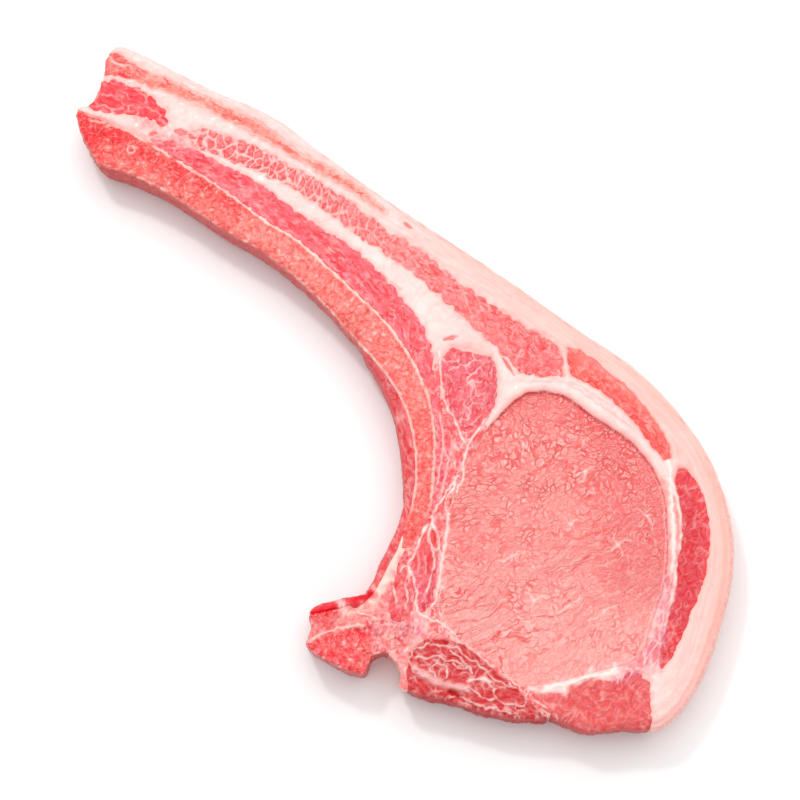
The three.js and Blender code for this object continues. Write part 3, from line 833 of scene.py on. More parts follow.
def neck_muscle(slice_, x, y, depth, rim):
    """Small plump muscle between rib and loin eye, mauve at its lower end."""
    surface = lean(x, y, depth, 80, 7.0, 2.2, 400, cobble=0.3, crease=0.6, web=0.15, tone=-0.1, mottle=0.4)
    surface["height"] += 0.7 * smooth(depth, 0.2, 2.0)
    surface["shade"] = 0.8 * smooth(-y, 60, 72)
    surface["tone"] -= 0.4 * smooth(-y, 60, 72)
    return surface


def rib_root_muscle(slice_, x, y, depth, rim):
    """Coarse coral strands between the rib's lower end and the backbone."""
    surface = lean(x, y, depth, 75, 4.0, 2.0, 450, cobble=0.35, crease=0.6, web=0.3, web_size=3.4,
                   web_width=0.26, tone=0.1, mottle=0.6)
    surface["height"] += 0.35 * smooth(depth, 0.2, 1.4)
    return surface


def belly_middle(slice_, x, y, depth, rim):
    """Long streak of belly meat, split into lobes towards its sawn end."""
    surface = lean(x, y, depth, -33, 5.0, 2.4, 500, crease=0.45, web=0.2, web_size=5.0, tone=0.1, mottle=0.4,
                   pale_edge=0.3)
    lobed = smooth(-x, -10, 45)  # split into lobes by fat towards the belly end
    u, v = along(x, y, -33)
    u, v = bent(u, v, 3.0, 1.0, 531)
    border, _, tag = cells(u / (3.2 + 2.6 * (1 - lobed)), v / 5.2, 533, 1.0)
    gap = border * 3.6
    net = bell(gap, 0.16 + 0.08 * lobed) * smooth(layered(x, y, 6, 534) + lobed, -0.4, 0.5)
    surface["web"] = np.maximum(surface["web"] * (1 - 0.5 * lobed), (0.45 + 0.25 * lobed) * net)
    surface["crease"] = surface["crease"] * (1 - 0.5 * lobed) + 0.5 * bell(gap - 0.5, 0.2) * lobed
    surface["height"] += (0.15 + 0.3 * lobed) * (smooth(gap, 0, 0.9) - 0.6)
    surface["tone"] += (
        0.5 * lobed * (tag - 0.5) + 0.25 * bell(np.hypot(x - 6, y - 44), 14) - 0.6 * smooth(x, 20, 40))
    surface["shade"] = 0.5 * smooth(x - 0.8 * y, 16, 40)  # mauve where the streak ends beside the cap
    return surface


# Cream arc and red slit in the outer streak's sawn end.
END_ARC = [(-101.3, 114.8), (-100.2, 112.7), (-98, 111.6), (-94.5, 111.2)]
END_SLIT = [(-98.4, 108.6), (-96.4, 107.6), (-94.8, 107.4)]


def belly_outer(slice_, x, y, depth, rim):
    """Thin pale streak of belly meat that fades into the fat."""
    surface = lean(x, y, depth, -30, 9.0, 2.0, 600, cobble=0.1, crease=0.25, web=0.2, tone=-0.05, mottle=0.5,
                   pale_edge=0.6, threads=0.25)
    surface["shade"] = smooth(-x, 84, 100)  # redder at the cut end
    surface["tone"] += 0.5 * smooth(x, -92, -84) - 0.4 * bell(np.hypot(x + 52, y - 89), 8)
    faded = bell(depth, 0.5) * smooth(x, -95, -80)
    arc = drawn(x, y, [END_ARC], 0.4, 631)
    surface["web"] = np.maximum.reduce([surface["web"], 0.6 * faded, 0.8 * arc])
    surface["blood"] = 0.9 * drawn(x, y, [END_SLIT], 0.5, 632)
    surface["height"] += 0.3 * arc
    return surface


def belly_tip(slice_, x, y, depth, rim):
    """Dark bloody meat at the sawn end of the belly."""
    surface = lean(x, y, depth, -20, 6.0, 2.4, 700, crease=0.6, web=0.55, web_size=5.0, tone=-0.1, mottle=0.8,
                   threads=0.45)
    surface["blood"] = 0.6 * smooth(layered(x, y, 7, 731) - 0.02 * (x + 95), 0.15, 0.7)
    return surface


def cap_front(slice_, x, y, depth, rim):
    """Front of the cap: paler and more orange towards the skin, where it fades into the fat."""
    surface = lean(x, y, depth, -48, 5.0, 2.2, 800, cobble=0.1, crease=0.45, web=0.35, web_size=6.5,
                   tone=0.05, mottle=0.7, threads=0.25)
    outer = smooth(8.5 - rim, -2.4, 2.4)
    surface["tone"] += 1.25 * outer - 0.5 + 0.5 * bell(depth, 1.0) * outer
    surface["bundles"] *= 1 - 0.5 * outer
    return surface


def cap_back(slice_, x, y, depth, rim):
    """Back of the cap: bright orange-red towards the skin, dusky beside the seam, dotted with fat."""
    surface = lean(x, y, depth, 62, 3.0, 2.4, 900, cobble=0.12, crease=0.45, web=0.3, web_size=5.5,
                   tone=-0.2, mottle=0.7, threads=0.3, furrow=0.2)
    outer = smooth(8.8 - rim, -2, 2)
    ends = np.maximum(smooth(y, -42, -28), 0.7 * smooth(-y, 80, 90))
    surface["tone"] += 0.6 * outer + 0.9 * ends
    surface["shade"] = (1 - outer) * (1 - ends)
    dots = bell(cells(x / 3.1, y / 3.1, 933, 1.0)[1], 0.13)
    surface["light"] = np.maximum.reduce([
        surface["light"], 0.8 * veins(x, y, 4.6, 0.22, 932) * surface["bundles"], 0.8 * dots])
    return surface


# Sheets of tissue curling through the trimmed muscle beside the backbone.
BACK_SHEETS = [
    [(4.4, -91.9), (10.8, -90.2), (15.8, -90.6), (20.4, -92.5)],
    [(4.4, -90.6), (3.1, -94.5), (4.1, -98.5), (7.7, -100.8)],
    [(5.1, -94.2), (10.7, -94.2), (16.1, -95.2), (20.4, -96.5), (24.4, -99.2)],
    [(9.7, -97.5), (13.1, -96.5), (15.4, -97.8), (15.1, -100.5), (12.4, -101.5), (10.4, -99.5), (9.7, -97.5)],
    [(20.4, -92.5), (24.4, -95.9), (28.7, -98.8), (32, -102.1), (37, -103.8), (40.6, -106.1), (41.9, -109.1),
     (39.6, -110.4), (35.9, -109.7), (32, -108.1), (30.7, -105.1)],
    [(16.4, -91.9), (19.1, -93.9), (21.7, -96.5), (20.4, -97.8), (17.4, -96.5)],
    [(16.7, -107.1), (22, -108.1), (26.6, -110.4), (31.9, -111.7), (36.9, -112.4)],
    [(33, -99.5), (35.7, -101.2), (37, -103.5)], [(27.7, -100.5), (29, -103.1), (31.3, -105.1)],
    [(20.7, -104.5), (24.3, -105.1), (27.7, -107.4), (31, -108.4)],
    [(42.9, -108.4), (46.2, -112), (50.2, -114.7)],
]
THICK_SHEETS = [[(23, -102.1), (25.7, -101.2), (28.4, -101.8), (30, -102.8)]]
# Loose white flap that hangs over the muscle, and the holes that open beside it.
WHITE_FLAP = [[(4.7, -97.8), (8.7, -100.8), (13.1, -102.8), (18, -103.8), (22.4, -104.8)]]
DARK_HOLES = [[(16.4, -105.4), (19, -107.1)], [(1.1, -100.8), (1.7, -102.8)]]


def back_muscle(slice_, x, y, depth, rim):
    """Trimmed muscle beside the backbone: deep red lobes in thick curling white tissue."""
    surface = lean(x, y, depth, -28, 3.8, 2.2, 1000, cobble=0.3, crease=0.75, web=0.15, tone=-0.5, mottle=0.5,
                   threads=0.2)
    wavy_x, wavy_y = bent(x, y, 3.4, 0.9, 1039)
    sheets = np.maximum(
        0.85 * drawn(wavy_x, wavy_y, BACK_SHEETS, 0.29, 1031), drawn(x, y, THICK_SHEETS, 0.7, 1034))
    u, v = along(x, y, -30)
    u, v = bent(u, v, 4.0, 1.6, 1032)
    border, _, _ = cells(u / 4.4, v / 2.1, 1033, 1.0)
    net = bell(border * 2.1, 0.15) * smooth(layered(x, y, 5, 1035), -0.4, 0.3)
    flap = drawn(x, y, WHITE_FLAP, 1.4, 1036) * (0.8 + 0.2 * swells(x, y, 3, 1040))
    down = -y - 0.22 * x  # how far below the loin eye
    rough = smooth(down, 101, 107) * smooth(layered(x, y, 3, 1037), 0.0, 0.4)
    left = smooth(8 - x, 0, 5)  # pale coral strands beside the backbone
    surface["web"] = np.maximum.reduce([surface["web"], 0.95 * sheets, 0.5 * net, 0.75 * flap, 0.4 * rough])
    surface["tone"] += 0.9 * left + 0.4 * (1 - smooth(down, 86, 94)) - 0.5 * smooth(down, 97, 103)
    hole = drawn(x, y, DARK_HOLES, 0.9, 1038)
    surface["height"] += 0.6 * sheets + 0.25 * net - 0.45 * smooth(depth, 0, 1.2) + 0.9 * flap - 1.6 * hole
    surface["crease"] = np.maximum(surface["crease"] * (1 - 0.8 * flap), 1.1 * hole)
    # Painted shadow: a dark line just below and right of each raised sheet of tissue
    shadow_below_sheets = drawn(x - 0.3, y + 0.85, BACK_SHEETS, 0.45, 1031) * (1 - sheets) * (1 - flap)
    surface["crease"] = np.maximum(surface["crease"], 0.8 * shadow_below_sheets)
    surface["web"] *= 1 - hole
    return surface


def lower_muscle(slice_, x, y, depth, rim):
    """Coral meat in large bundles, with specks and thin lines of fat."""
    surface = lean(x, y, depth, 40, 4.4, 3.8, 1100, cobble=0.25, crease=0.5, web=0.3, tone=-0.1, mottle=0.8,
                   furrow=0.1)
    specks = bell(cells(x / 2.6, y / 2.6, 1131, 1.0)[1], 0.2) * smooth(swells(x, y, 5, 1132), -0.3, 0.4)
    lines = 0.75 * veins(x, y, 4.2, 0.16, 1133) * smooth(swells(x, y, 7, 1134), -0.7, 0.1)
    surface["light"] = np.maximum.reduce([surface["light"], 0.9 * specks, lines])
    surface["bundles"] *= 0.6
    return surface


def rib_lining(slice_, x, y, depth, rim):
    """Smooth wet membrane over red muscle on the rib's hollow side."""
    surface = lean(x, y, depth, "rib", 14.0, 2.2, 1200, cobble=0.08, crease=0.45, web=0.3, tone=-0.1,
                   mottle=0.8, threads=0.4)
    surface["shade"] = 0.7 * smooth(y, -12, 8)  # greyer membrane higher up the rib
    cream = drawn(x, y, [[(-20.6, -77.6), (-14, -75), (-9.4, -71.6)]], 2.6, 1232)
    surface["web"] = np.maximum(surface["web"], 0.8 * cream * smooth(layered(x, y, 3, 1233), -0.9, 0.1))
    surface["height"] += 0.5 * cream
    return surface


# Soft flesh on the tendon's inner side.
TENDON_FLESH = [[(5.4, -58.5), (1.2, -67), (-3.6, -76), (-8, -81)]]


def rib_tendon(slice_, x, y, depth, rim):
    """Smooth cream band between the lining and the rib's root."""
    surface = lean(x, y, depth, 62, 12.0, 1.6, 1250, cobble=0.05, crease=0.12, web=0.0, tone=0.3, mottle=0.4,
                   threads=0.0)
    surface["height"] += 0.5 * smooth(depth, 0.1, 1.4)
    surface["meaty"] = np.maximum(
        np.minimum(1.0, 1.5 * drawn(x, y, TENDON_FLESH, 3.2, 1251)), 0.6 * smooth(-y, 75, 80))
    return surface


def bone(x, y, depth, seed, shell_width):
    """Sawn bone: red marrow in soft lumps, pale specks that are partly fat and partly painted glints, and a
    hard white shell at its sides.
    """
    fold_x, fold_y = bent(x, y, 2.8, 1.0, seed + 1)
    border, middle, tag = cells(fold_x / 2.5, fold_y / 2.5, seed, 1.0)
    lump = layered(x, y, 4.6, seed + 2)
    wander = shell_width * (1 + 0.45 * swells(x, y, 3.0, seed + 4))
    shell = smooth(wander - depth, -0.2, 0.2) * smooth(swells(x, y, 4.5, seed + 6), -0.9, -0.2)
    # Pale specks: partly fat in the marrow, partly painted glints
    fleck_and_glint = (tag > 0.8) * bell(middle, 0.17)
    curl = curls(x, y, 2.6, 0.13, seed + 7) * smooth(swells(x, y, 3.5, seed + 8), -0.1, 0.5)
    # Patches where the lumps' borders show a dark line, partly darker marrow and partly painted shade in the
    # groove, with a pale line just inside it, a painted highlight
    shade_and_highlight_patches = smooth(swells(x, y, 3.0, seed + 10), -0.5, 0.3)
    return surface_of(
        x, y,
        height=0.35 * (smooth(border * 2, 0.0, 0.6) - 0.7) + 0.65 * lump + 0.1 * curl
        + 0.2 * bell(depth - 0.4, 0.5),
        crease=0.55 * bell(border * 2, 0.26) * shade_and_highlight_patches,
        light=0.65 * curl + 0.35 * bell(border * 2 - 0.55, 0.2) * shade_and_highlight_patches,
        tag=tag,
        web=np.maximum(shell, 0.8 * fleck_and_glint),
        tone=0.75 * lump + 0.7 * (tag - 0.5) + 0.35 * layered(x, y, 14, seed + 5),
    )


# The bright red stretch of the rib's marrow, from its tip along the shell.
RED_MARROW = [[(-110, 92), (-104, 88), (-92, 82), (-80, 75), (-68, 67.5), (-58, 60.5)]]
TIP_STREAKS = [[(-108, 91.5), (-101, 89.8), (-95.5, 88.2)], [(-104, 93.5), (-98, 92), (-95.4, 88)]]
# Dark slit in the rib's tip, and the cream ring of a vessel.
TIP_SLIT = [[(-106.8, 93.4), (-101.2, 91.6)]]
TIP_VESSEL = (-93.6, 81.0, 1.3)


def rib_bone(slice_, x, y, depth, rim):
    """Sawn rib: bright marrow, torn and bloody at its tip, soft gristle at its lower end."""
    surface = bone(x, y, depth, 1300, 0.75)
    across = round_rib(x, y)[1]
    lower_side = smooth(depth, 1.0, 3.0) * smooth(130 - across, -4, 4)
    red = drawn(x, y, RED_MARROW, 5.0, 1331) * smooth(layered(x, y, 5, 1332), -0.9, 0.0)
    tip = smooth(-x, 86, 100) * smooth(0.4 * layered(x, y, 5, 1333) + 0.05 * (y - 80), -0.2, 0.3)
    surface["blood"] = np.maximum.reduce([
        0.75 * red, 0.9 * tip, 0.95 * bell(np.hypot(x + 110.5, y - 95), 4.5)])
    surface["tone"] += 0.3 * bell(np.hypot(x + 30, y - 52), 16) - 0.3 * smooth(-y, 4, 24)
    surface["tone"] -= 0.35 * bell(np.hypot(x + 96, y - 84), 16)
    worn_edge = smooth(2.2 - rim, 0.0, 1.0) * smooth(-x, 26, 40)  # the shell is broken away here
    surface["web"] *= 1 - 0.85 * worn_edge * smooth(swells(x, y, 4, 1336), -0.8, 0.2)
    surface["height"] -= 0.4 * worn_edge * smooth(swells(x, y, 3, 1337), -0.4, 0.4)
    surface["web"] *= 1 - 0.4 * surface["blood"]
    ring = bell(np.hypot(x - TIP_VESSEL[0], y - TIP_VESSEL[1]) - TIP_VESSEL[2], 0.3)
    surface["web"] = np.maximum.reduce([
        surface["web"], 0.7 * drawn(x, y, TIP_STREAKS, 0.4, 1334), 0.8 * ring])
    surface["crease"] = np.maximum(surface["crease"], drawn(x, y, TIP_SLIT, 0.5, 1335))
    end = smooth(-y, 40, 50)  # soft red gristle at the rib's lower end
    surface["web"] *= 1 - 0.3 * smooth(-y, -20, 10) - 0.6 * end
    surface["tone"] += 0.35 * lower_side - 0.7 * end
    surface["height"] -= 0.3 * end
    return surface


# The pale plate of hard bone across the backbone, above its red marrow.
PLATE = [(-30.9, -89.1), (-27.4, -87.2), (-23.4, -85.4), (-18.3, -84.2), (-12.5, -83.5)]
PLATE_SLOPE = (PLATE[-1][1] - PLATE[0][1]) / (PLATE[-1][0] - PLATE[0][0])
# Cream tissue and fine tendon fibres over the backbone, and the coral strands and lumps between them.
CREAM_ZONE = [[(-19.6, -80), (-16.3, -79.2), (-12, -78.2), (-8, -80.5)]]
TENDON_FIBRES = [
    [(-1.6, -84.6), (0.4, -87.9)], [(-3.6, -83.9), (-5.3, -87.2)], [(0.4, -84.6), (3.8, -86.6)],
    [(-2.3, -83.9), (-2.3, -88.6)], [(-6.9, -84.6), (-9.6, -86.6)],
]
CORAL_STRANDS = [
    [(-1.6, -88.6), (-1.6, -92.5), (0.1, -96.5), (1.1, -100.5)],
    [(-0.2, -87.2), (0.4, -91.9), (1.7, -96.5), (2.4, -100.5)],
    [(1.8, -86.6), (2.4, -91.2)], [(-3.3, -88.6), (-3.6, -91.2)],
]
CORAL_LUMPS = [
    [(-12.9, -90.6), (-11.6, -92.5)], [(-16.2, -93.9), (-12.9, -95.2)], [(-8.4, -84.4), (-6.8, -91.6)],
]


def chine_bone(slice_, x, y, depth, rim):
    """Sawn backbone: pitted red marrow below a pale plate, soft coral tissue beside the canal."""
    surface = bone(x, y, depth, 1400, 0.25)
    below = PLATE[0][1] + PLATE_SLOPE * (x - PLATE[0][0]) - y + 0.8 * layered(x, y, 4, 1431)
    marrow = smooth(below, -0.4, 0.8) * smooth(-x, 8, 12)
    pits = smooth(swells(x, y, 1.6, 1432), 0.4, 0.65) * (0.35 + 0.65 * marrow)
    plate = drawn(x, y, [PLATE], 0.5, 1434)
    fibres = drawn(x, y, TENDON_FIBRES, 0.3, 1436)
    coral = np.maximum(drawn(x, y, CORAL_STRANDS, 0.7, 1437), drawn(x, y, CORAL_LUMPS, 1.5, 1438))
    soft = smooth(x, -16, -11) * (1 - marrow)  # soft tissue over the backbone, beside the canal
    surface["tone"] = 1.4 * surface["tone"] + 0.4 * (1 - marrow) - 0.25 * marrow
    surface["meaty"] = np.maximum(0.9 * coral, 0.85 * soft)
    surface["web"] = np.maximum.reduce([
        surface["web"] * (1 - 0.5 * coral), 0.85 * plate, 0.8 * fibres,
        0.7 * drawn(x, y, CREAM_ZONE, 1.8, 1439)])
    surface["blood"] = 0.6 * marrow * smooth(layered(x, y, 3, 1433), -0.5, 0.5)
    surface["crease"] = np.maximum(surface["crease"] * (0.5 + 0.5 * marrow), pits) * (1 - 0.7 * plate)
    surface["height"] += 0.3 * coral + 0.3 * plate + 0.2 * fibres - 0.45 * pits - 0.3 * marrow
    return surface


# Small red pieces of meat lying in the fat: place, half length, half width and turn in degrees.
FAT_FLECKS = [
    (-76.7, 87.3, 2.4, 1.3, -15), (36.6, 4.5, 4.0, 0.6, -58), (17.2, 14.3, 2.4, 0.8, 15),
    (2.4, 53.8, 2.2, 0.6, -40), (-79.5, 83.4, 1.6, 0.8, 30), (-58, 76.5, 1.2, 0.5, -30),
    (-46, 71, 1.2, 0.5, -30), (-86, 86.6, 1.4, 0.8, 10),
]
# Folds and thin sheets in the fat.
FAT_FOLDS = [
    [(33.5, 9), (37, 4), (42, 0.5)], [(45, -1), (56, -1.6), (66, -8), (78, -17)],
    [(50, 0.6), (60, -2.4), (72, -10)],
]
# Strands of soft pink tissue that lie between the fat and the meat.
PINK_STRANDS = [
    [(1, -84), (3.6, -90), (1.8, -97), (3, -104)], [(-3, -85), (4, -84), (12, -85), (20, -90)],
    [(-1, -93), (1.4, -99)], [(92, -62), (89.6, -78), (85.6, -92), (80, -99)],
    [(5, -52), (3.4, -60), (3.2, -70)], [(-98, 100), (-90, 92), (-84, 88)],
    [(-84, 86), (-78, 84), (-72, 83)], [(8, -48), (13, -56), (14, -70)],
]


def fat(slice_, x, y, depth, rim):
    """Firm white fat, pinker beside the meat and peach under the skin, with faint threads in it."""
    threads = 0.4 * veins(x, y, 7, 0.2, 1501, 0.5) * smooth(layered(x, y, 12, 1502), -0.4, 0.5)
    outer = smooth(9.5 - rim, -2.0, 2.0)
    layers = curls(x * 0.12, rim, 1.6, 0.22, 1511) * outer  # fine lines that follow the skin
    band = smooth(0.9 * x + 0.45 * y, 6, 58) * smooth(x + 0.3 * y, -20, 20)
    reach = 8.5 + 1.6 * layered(x, y, 18, 1503)
    skin_side = band * smooth(reach - rim, -1.2, 1.2) * (0.7 + 0.3 * smooth(4 - rim, -2, 2))
    inner_line = band * bell(rim - reach + 1.8, 0.4) * smooth(layered(x, y, 14, 1516), -0.4, 0.3)
    left_strand = drawn(x, y, [SEAM_LEFT], 1.0, 1517)
    strand_edges = np.maximum(left_strand, drawn(x, y, [SEAM_RIGHT, SEAM_TOOTH], 0.7, 1518))
    crevice = drawn(x, y, [SEAM_CREVICE], 0.4, 1519) * smooth(swells(x, y, 6, 1520), -0.7, 0.1)
    right_seam = drawn(x, y, [SEAM_CREVICE], 3.2, 1524) * (1 - strand_edges)
    lobes, _, tag = cells(x / 5.5 + 0.4 * swells(x, y, 6, 1504), y / 5.5, 1505)
    _, _, fine_tag = cells(x / 1.1, y / 1.1, 1506)
    flecks = np.zeros_like(x)
    for place_x, place_y, half_long, half_wide, turn in FAT_FLECKS:
        u, v = along(x - place_x, y - place_y, turn)
        ragged = 0.35 * swells(x, y, 1.6, 1507)
        flecks = np.maximum(flecks, smooth(1 - np.hypot(u / half_long, v / half_wide) + ragged, -0.15, 0.25))
    folds = drawn(x, y, FAT_FOLDS, 0.3, 1512)
    pink = drawn(x, y, PINK_STRANDS, 2.4, 1513) * smooth(layered(x, y, 3, 1514), -0.9, 0.3)
    neck = bell(np.hypot((x - 4) / 1.3, (y + 74) / 2.0), 12)  # pink tissue round the rib's lower end
    strip = bell(np.hypot(x - 20, (y + 96) * 0.8), 16) * smooth(2.0 - depth, -1, 1)
    flesh = np.minimum(1.0, 1.8 * drawn(x, y, FLESH, 3.4, 1521))
    pale_flesh = drawn(x, y, PALE_FLESH, 3.4, 1522) * smooth(layered(x, y, 4, 1523), -1.3, 0.1)
    meaty = np.maximum.reduce([
        0.6 * pink, 0.55 * neck, 0.55 * strip, 0.6 * right_seam, flesh, 0.8 * pale_flesh])
    cap = bell(depth - 2.0, 2.2) * smooth(0.6 * x + y, -30, 8) * smooth(x, 25, 45) * smooth(rim, 4, 8)
    ragged_end = bell(np.hypot(x + 84, y - 90), 12)
    over_side = bell(np.hypot(x - 22, y - 8), 8)  # pinker above the small round muscle
    strands = curls(x, y * 0.6, 1.6, 0.2, 1515) * meaty
    return surface_of(
        x, y,
        height=0.7 * cap + 0.25 * (smooth(depth, 0, 1.8) - 0.3) + 0.25 * layered(x, y, 7, 1508)
        + 0.07 * (smooth(lobes, 0, 0.4) - 0.5) - 0.4 * flecks - 0.2 * folds + 0.06 * layers + 0.2 * strands
        + 0.5 * strand_edges - 0.5 * crevice,
        crease=np.maximum.reduce([
            threads, 0.4 * folds, 0.12 * bell(lobes * 5.5, 0.3), 0.26 * layers, 0.4 * strands,
            0.4 * inner_line, 0.8 * crevice]),
        tag=0.5 * tag + 0.5 * fine_tag,
        web=0.85 * strand_edges,
        tone=0.2 + 0.3 * layered(x, y, 22, 1509) + 0.3 * layered(x, y, 4, 1510) - 0.9 * bell(depth, 0.7)
        - 0.35 * bell(depth, 2.2) - 0.5 * ragged_end - over_side - 0.6 * flesh,
        blood=0.7 * flecks,
        shade=skin_side,
        meaty=meaty,
    )


SURFACE = {
    "loin_eye": loin_eye, "side_muscle": side_muscle, "rib_muscle": rib_muscle, "neck_muscle": neck_muscle,
    "belly_middle": belly_middle, "belly_outer": belly_outer, "belly_tip": belly_tip,
    "cap_front": cap_front, "cap_back": cap_back, "back_muscle": back_muscle,
    "lower_muscle": lower_muscle, "rib_lining": rib_lining, "rib_bone": rib_bone,
    "chine_bone": chine_bone, "rib_root_muscle": rib_root_muscle, "rib_tendon": rib_tendon, "fat": fat,
}

# ---- Meshes -------------------------------------------------------------------------------------

WALL_ROWS = 14
BLOCK = 4  # the flat underside is this much coarser away from its seams
FOOT_REACH = 7.0  # how far in the underside is drawn out to meet the foot of the walls
WALL_ROUGHNESS = 0.25
TORN_ROUGHNESS = 1.0  # further unevenness of the walls where the edge is ragged
# Painted shade on the wall of the backbone's half-open canal, which lies deep in a hollow
NOTCH_SHADE = (-6.0, -95.0, 6.0)  # the half-open canal of the backbone: place and reach of its dark wall


class PieceMesh:
    """The closed mesh of one piece, with the masks of its surface."""

    def __init__(self, slice_, node):
        self.slice = slice_
        self.label = LABEL[node]
        self.mine = slice_.label == self.label
        self.points, self.faces, self.flat, self.flow = [], [], [], []
        self.masks = {name: [] for name in (*MASKS, "side", "core")}
        self.count = 0
        self.lay_top(SURFACE[node])
        self.lay_foot()
        self.lay_walls()

    def add_vertices(self, positions, masks, side, core, chosen=slice(None), sunk=0.0):
        """Adds vertices that take their place along the fibres from chosen ones of the upper face."""
        self.points.append(positions)
        self.count += len(positions)
        along_fibres, across = self.surface["flow"]
        below = np.broadcast_to(sunk, len(positions))
        self.flow.append(np.stack([along_fibres[chosen], across[chosen], below], 1))
        for name in MASKS:
            self.masks[name].append(masks[name])
        self.masks["side"].append(np.broadcast_to(side, len(positions)))
        self.masks["core"].append(np.broadcast_to(core, len(positions)))

    def add_faces(self, faces, flat=False):
        if len(faces):
            self.faces.append(faces)
            self.flat.append(np.full(len(faces), flat))

    def used_squares(self, mine):
        """The squares whose vertex a set of points uses."""
        return mine[:-1, :-1] | mine[:-1, 1:] | mine[1:, :-1] | mine[1:, 1:]

    def ring(self, rows, columns, index):
        """The four vertices round each grid point, counter-clockwise from above."""
        return np.stack([index[rows - 1, columns - 1], index[rows - 1, columns],
                         index[rows, columns], index[rows, columns - 1]], 1)

    def lay_top(self, surface):
        grid = self.slice
        used = self.used_squares(self.mine)
        self.index = np.full(used.shape, -1)
        self.index[used] = np.arange(used.sum())
        self.x, self.y = grid.place[0][used], grid.place[1][used]
        depth, rim = grid.seam_depth(self.label)[used], grid.top_depth[used]
        self.surface = surface(grid, self.x, self.y, depth, rim)
        drape(NODES[self.label - 1], self.x, self.y, self.surface)
        fade = smooth(depth, 0.0, 0.6)
        self.z = grid.level(self.x, self.y, rim, grid.drop[used]) + fade * self.surface["height"]
        positions = np.stack([self.x, self.y, self.z], 1)
        self.core = smooth(depth, 0.3, 1.6)
        self.add_vertices(positions, self.surface, 0.0, self.core)
        rows, columns = np.nonzero(self.mine)
        self.add_faces(self.ring(rows, columns, self.index))

    def lay_foot(self):
        """The flat underside, shifted to meet the foot of the side walls."""
        grid = self.slice
        blocks_y, blocks_x = (self.mine.shape[0] - 2) // BLOCK, (self.mine.shape[1] - 2) // BLOCK
        inner = self.mine.copy()
        for shift in (1, -1):
            inner &= np.roll(self.mine, shift, 0) & np.roll(self.mine, shift, 1)
        tiles = inner[1:1 + blocks_y * BLOCK, 1:1 + blocks_x * BLOCK]
        coarse = tiles.reshape(blocks_y, BLOCK, blocks_x, BLOCK).all((1, 3))
        fine = self.mine.copy()
        fine[1:1 + blocks_y * BLOCK, 1:1 + blocks_x * BLOCK] &= ~coarse.repeat(BLOCK, 0).repeat(BLOCK, 1)
        polygons = []
        padded = np.pad(coarse, 1)
        steps = range(BLOCK)
        for block_y, block_x in zip(*np.nonzero(coarse)):
            low, left = block_y * BLOCK, block_x * BLOCK
            high, right = low + BLOCK, left + BLOCK
            sides = ([(low, left + k) for k in steps], [(low + k, right) for k in steps],
                     [(high, right - k) for k in steps], [(high - k, left) for k in steps])
            joined = (padded[block_y, block_x + 1], padded[block_y + 1, block_x + 2],
                      padded[block_y + 2, block_x + 1], padded[block_y + 1, block_x])
            polygon = []
            for side, plain in zip(sides, joined):
                polygon += side[:1] if plain else side
            polygons.append(polygon)
        used = self.used_squares(fine)
        for polygon in polygons:
            rows, columns = zip(*polygon)
            used[list(rows), list(columns)] = True
        self.foot_index = np.full(used.shape, -1)
        self.foot_index[used] = self.count + np.arange(used.sum())
        reach = (grid.edge_inset - grid.foot)[used] * (1 - smooth(grid.top_depth[used], 0, FOOT_REACH))
        place = grid.place[:, used] + grid.outward[:, used] * reach
        positions = np.stack([place[0], place[1], np.zeros(used.sum())], 1)
        chosen = self.index[used]
        masks = {name: self.surface[name][chosen] for name in MASKS}
        self.add_vertices(positions, masks, 0.0, self.core[chosen], chosen, grid.sizes.thickness)
        rows, columns = np.nonzero(fine)
        self.add_faces(self.ring(rows, columns, self.foot_index)[:, ::-1])
        for polygon in polygons:
            self.add_faces([[self.foot_index[p] for p in reversed(polygon)]])

    def lay_walls(self):
        """Side walls in rows where the piece shows at the rim, plain ones along its hidden seams."""
        grid = self.slice
        open_squares = grid.open & (self.index >= 0)
        self.columns = np.full(open_squares.shape, -1)
        self.row_size = open_squares.sum()
        self.columns[open_squares] = self.count + np.arange(self.row_size)
        chosen = self.index[open_squares]
        outward = grid.outward[:, open_squares]
        inset, foot = grid.edge_inset[open_squares], grid.foot[open_squares]
        x, y, z = self.x[chosen], self.y[chosen], self.z[chosen]
        masks = {name: self.surface[name][chosen] for name in MASKS}
        for row in range(1, WALL_ROWS + 1):
            share = (row / (WALL_ROWS + 1)) ** 1.4
            bulge = (1 - max(0.0, 1 - share / 0.5) ** 2.6) ** 0.5  # out to the widest part, half way down
            tuck = max(0.0, (share - 0.45) / 0.55) ** 2  # and in again towards the foot
            rough = WALL_ROUGHNESS + TORN_ROUGHNESS * grid.rough[open_squares]
            rough = rough * math.sin(math.pi * share) ** 0.5
            uneven = rough * layered(x + 16 * share, y + 18 * share, 4.5, 31)
            out = inset * bulge - foot * tuck + uneven
            height = z * (1 - share)
            positions = np.stack([x + outward[0] * out, y + outward[1] * out, height], 1)
            row_masks = {name: mask * (1 - min(1, row / 5)) for name, mask in masks.items()}
            row_masks["tone"] = masks["tone"] * 0.3 + 0.4 * layered(x + height, y + 0.6 * height, 6, 32)
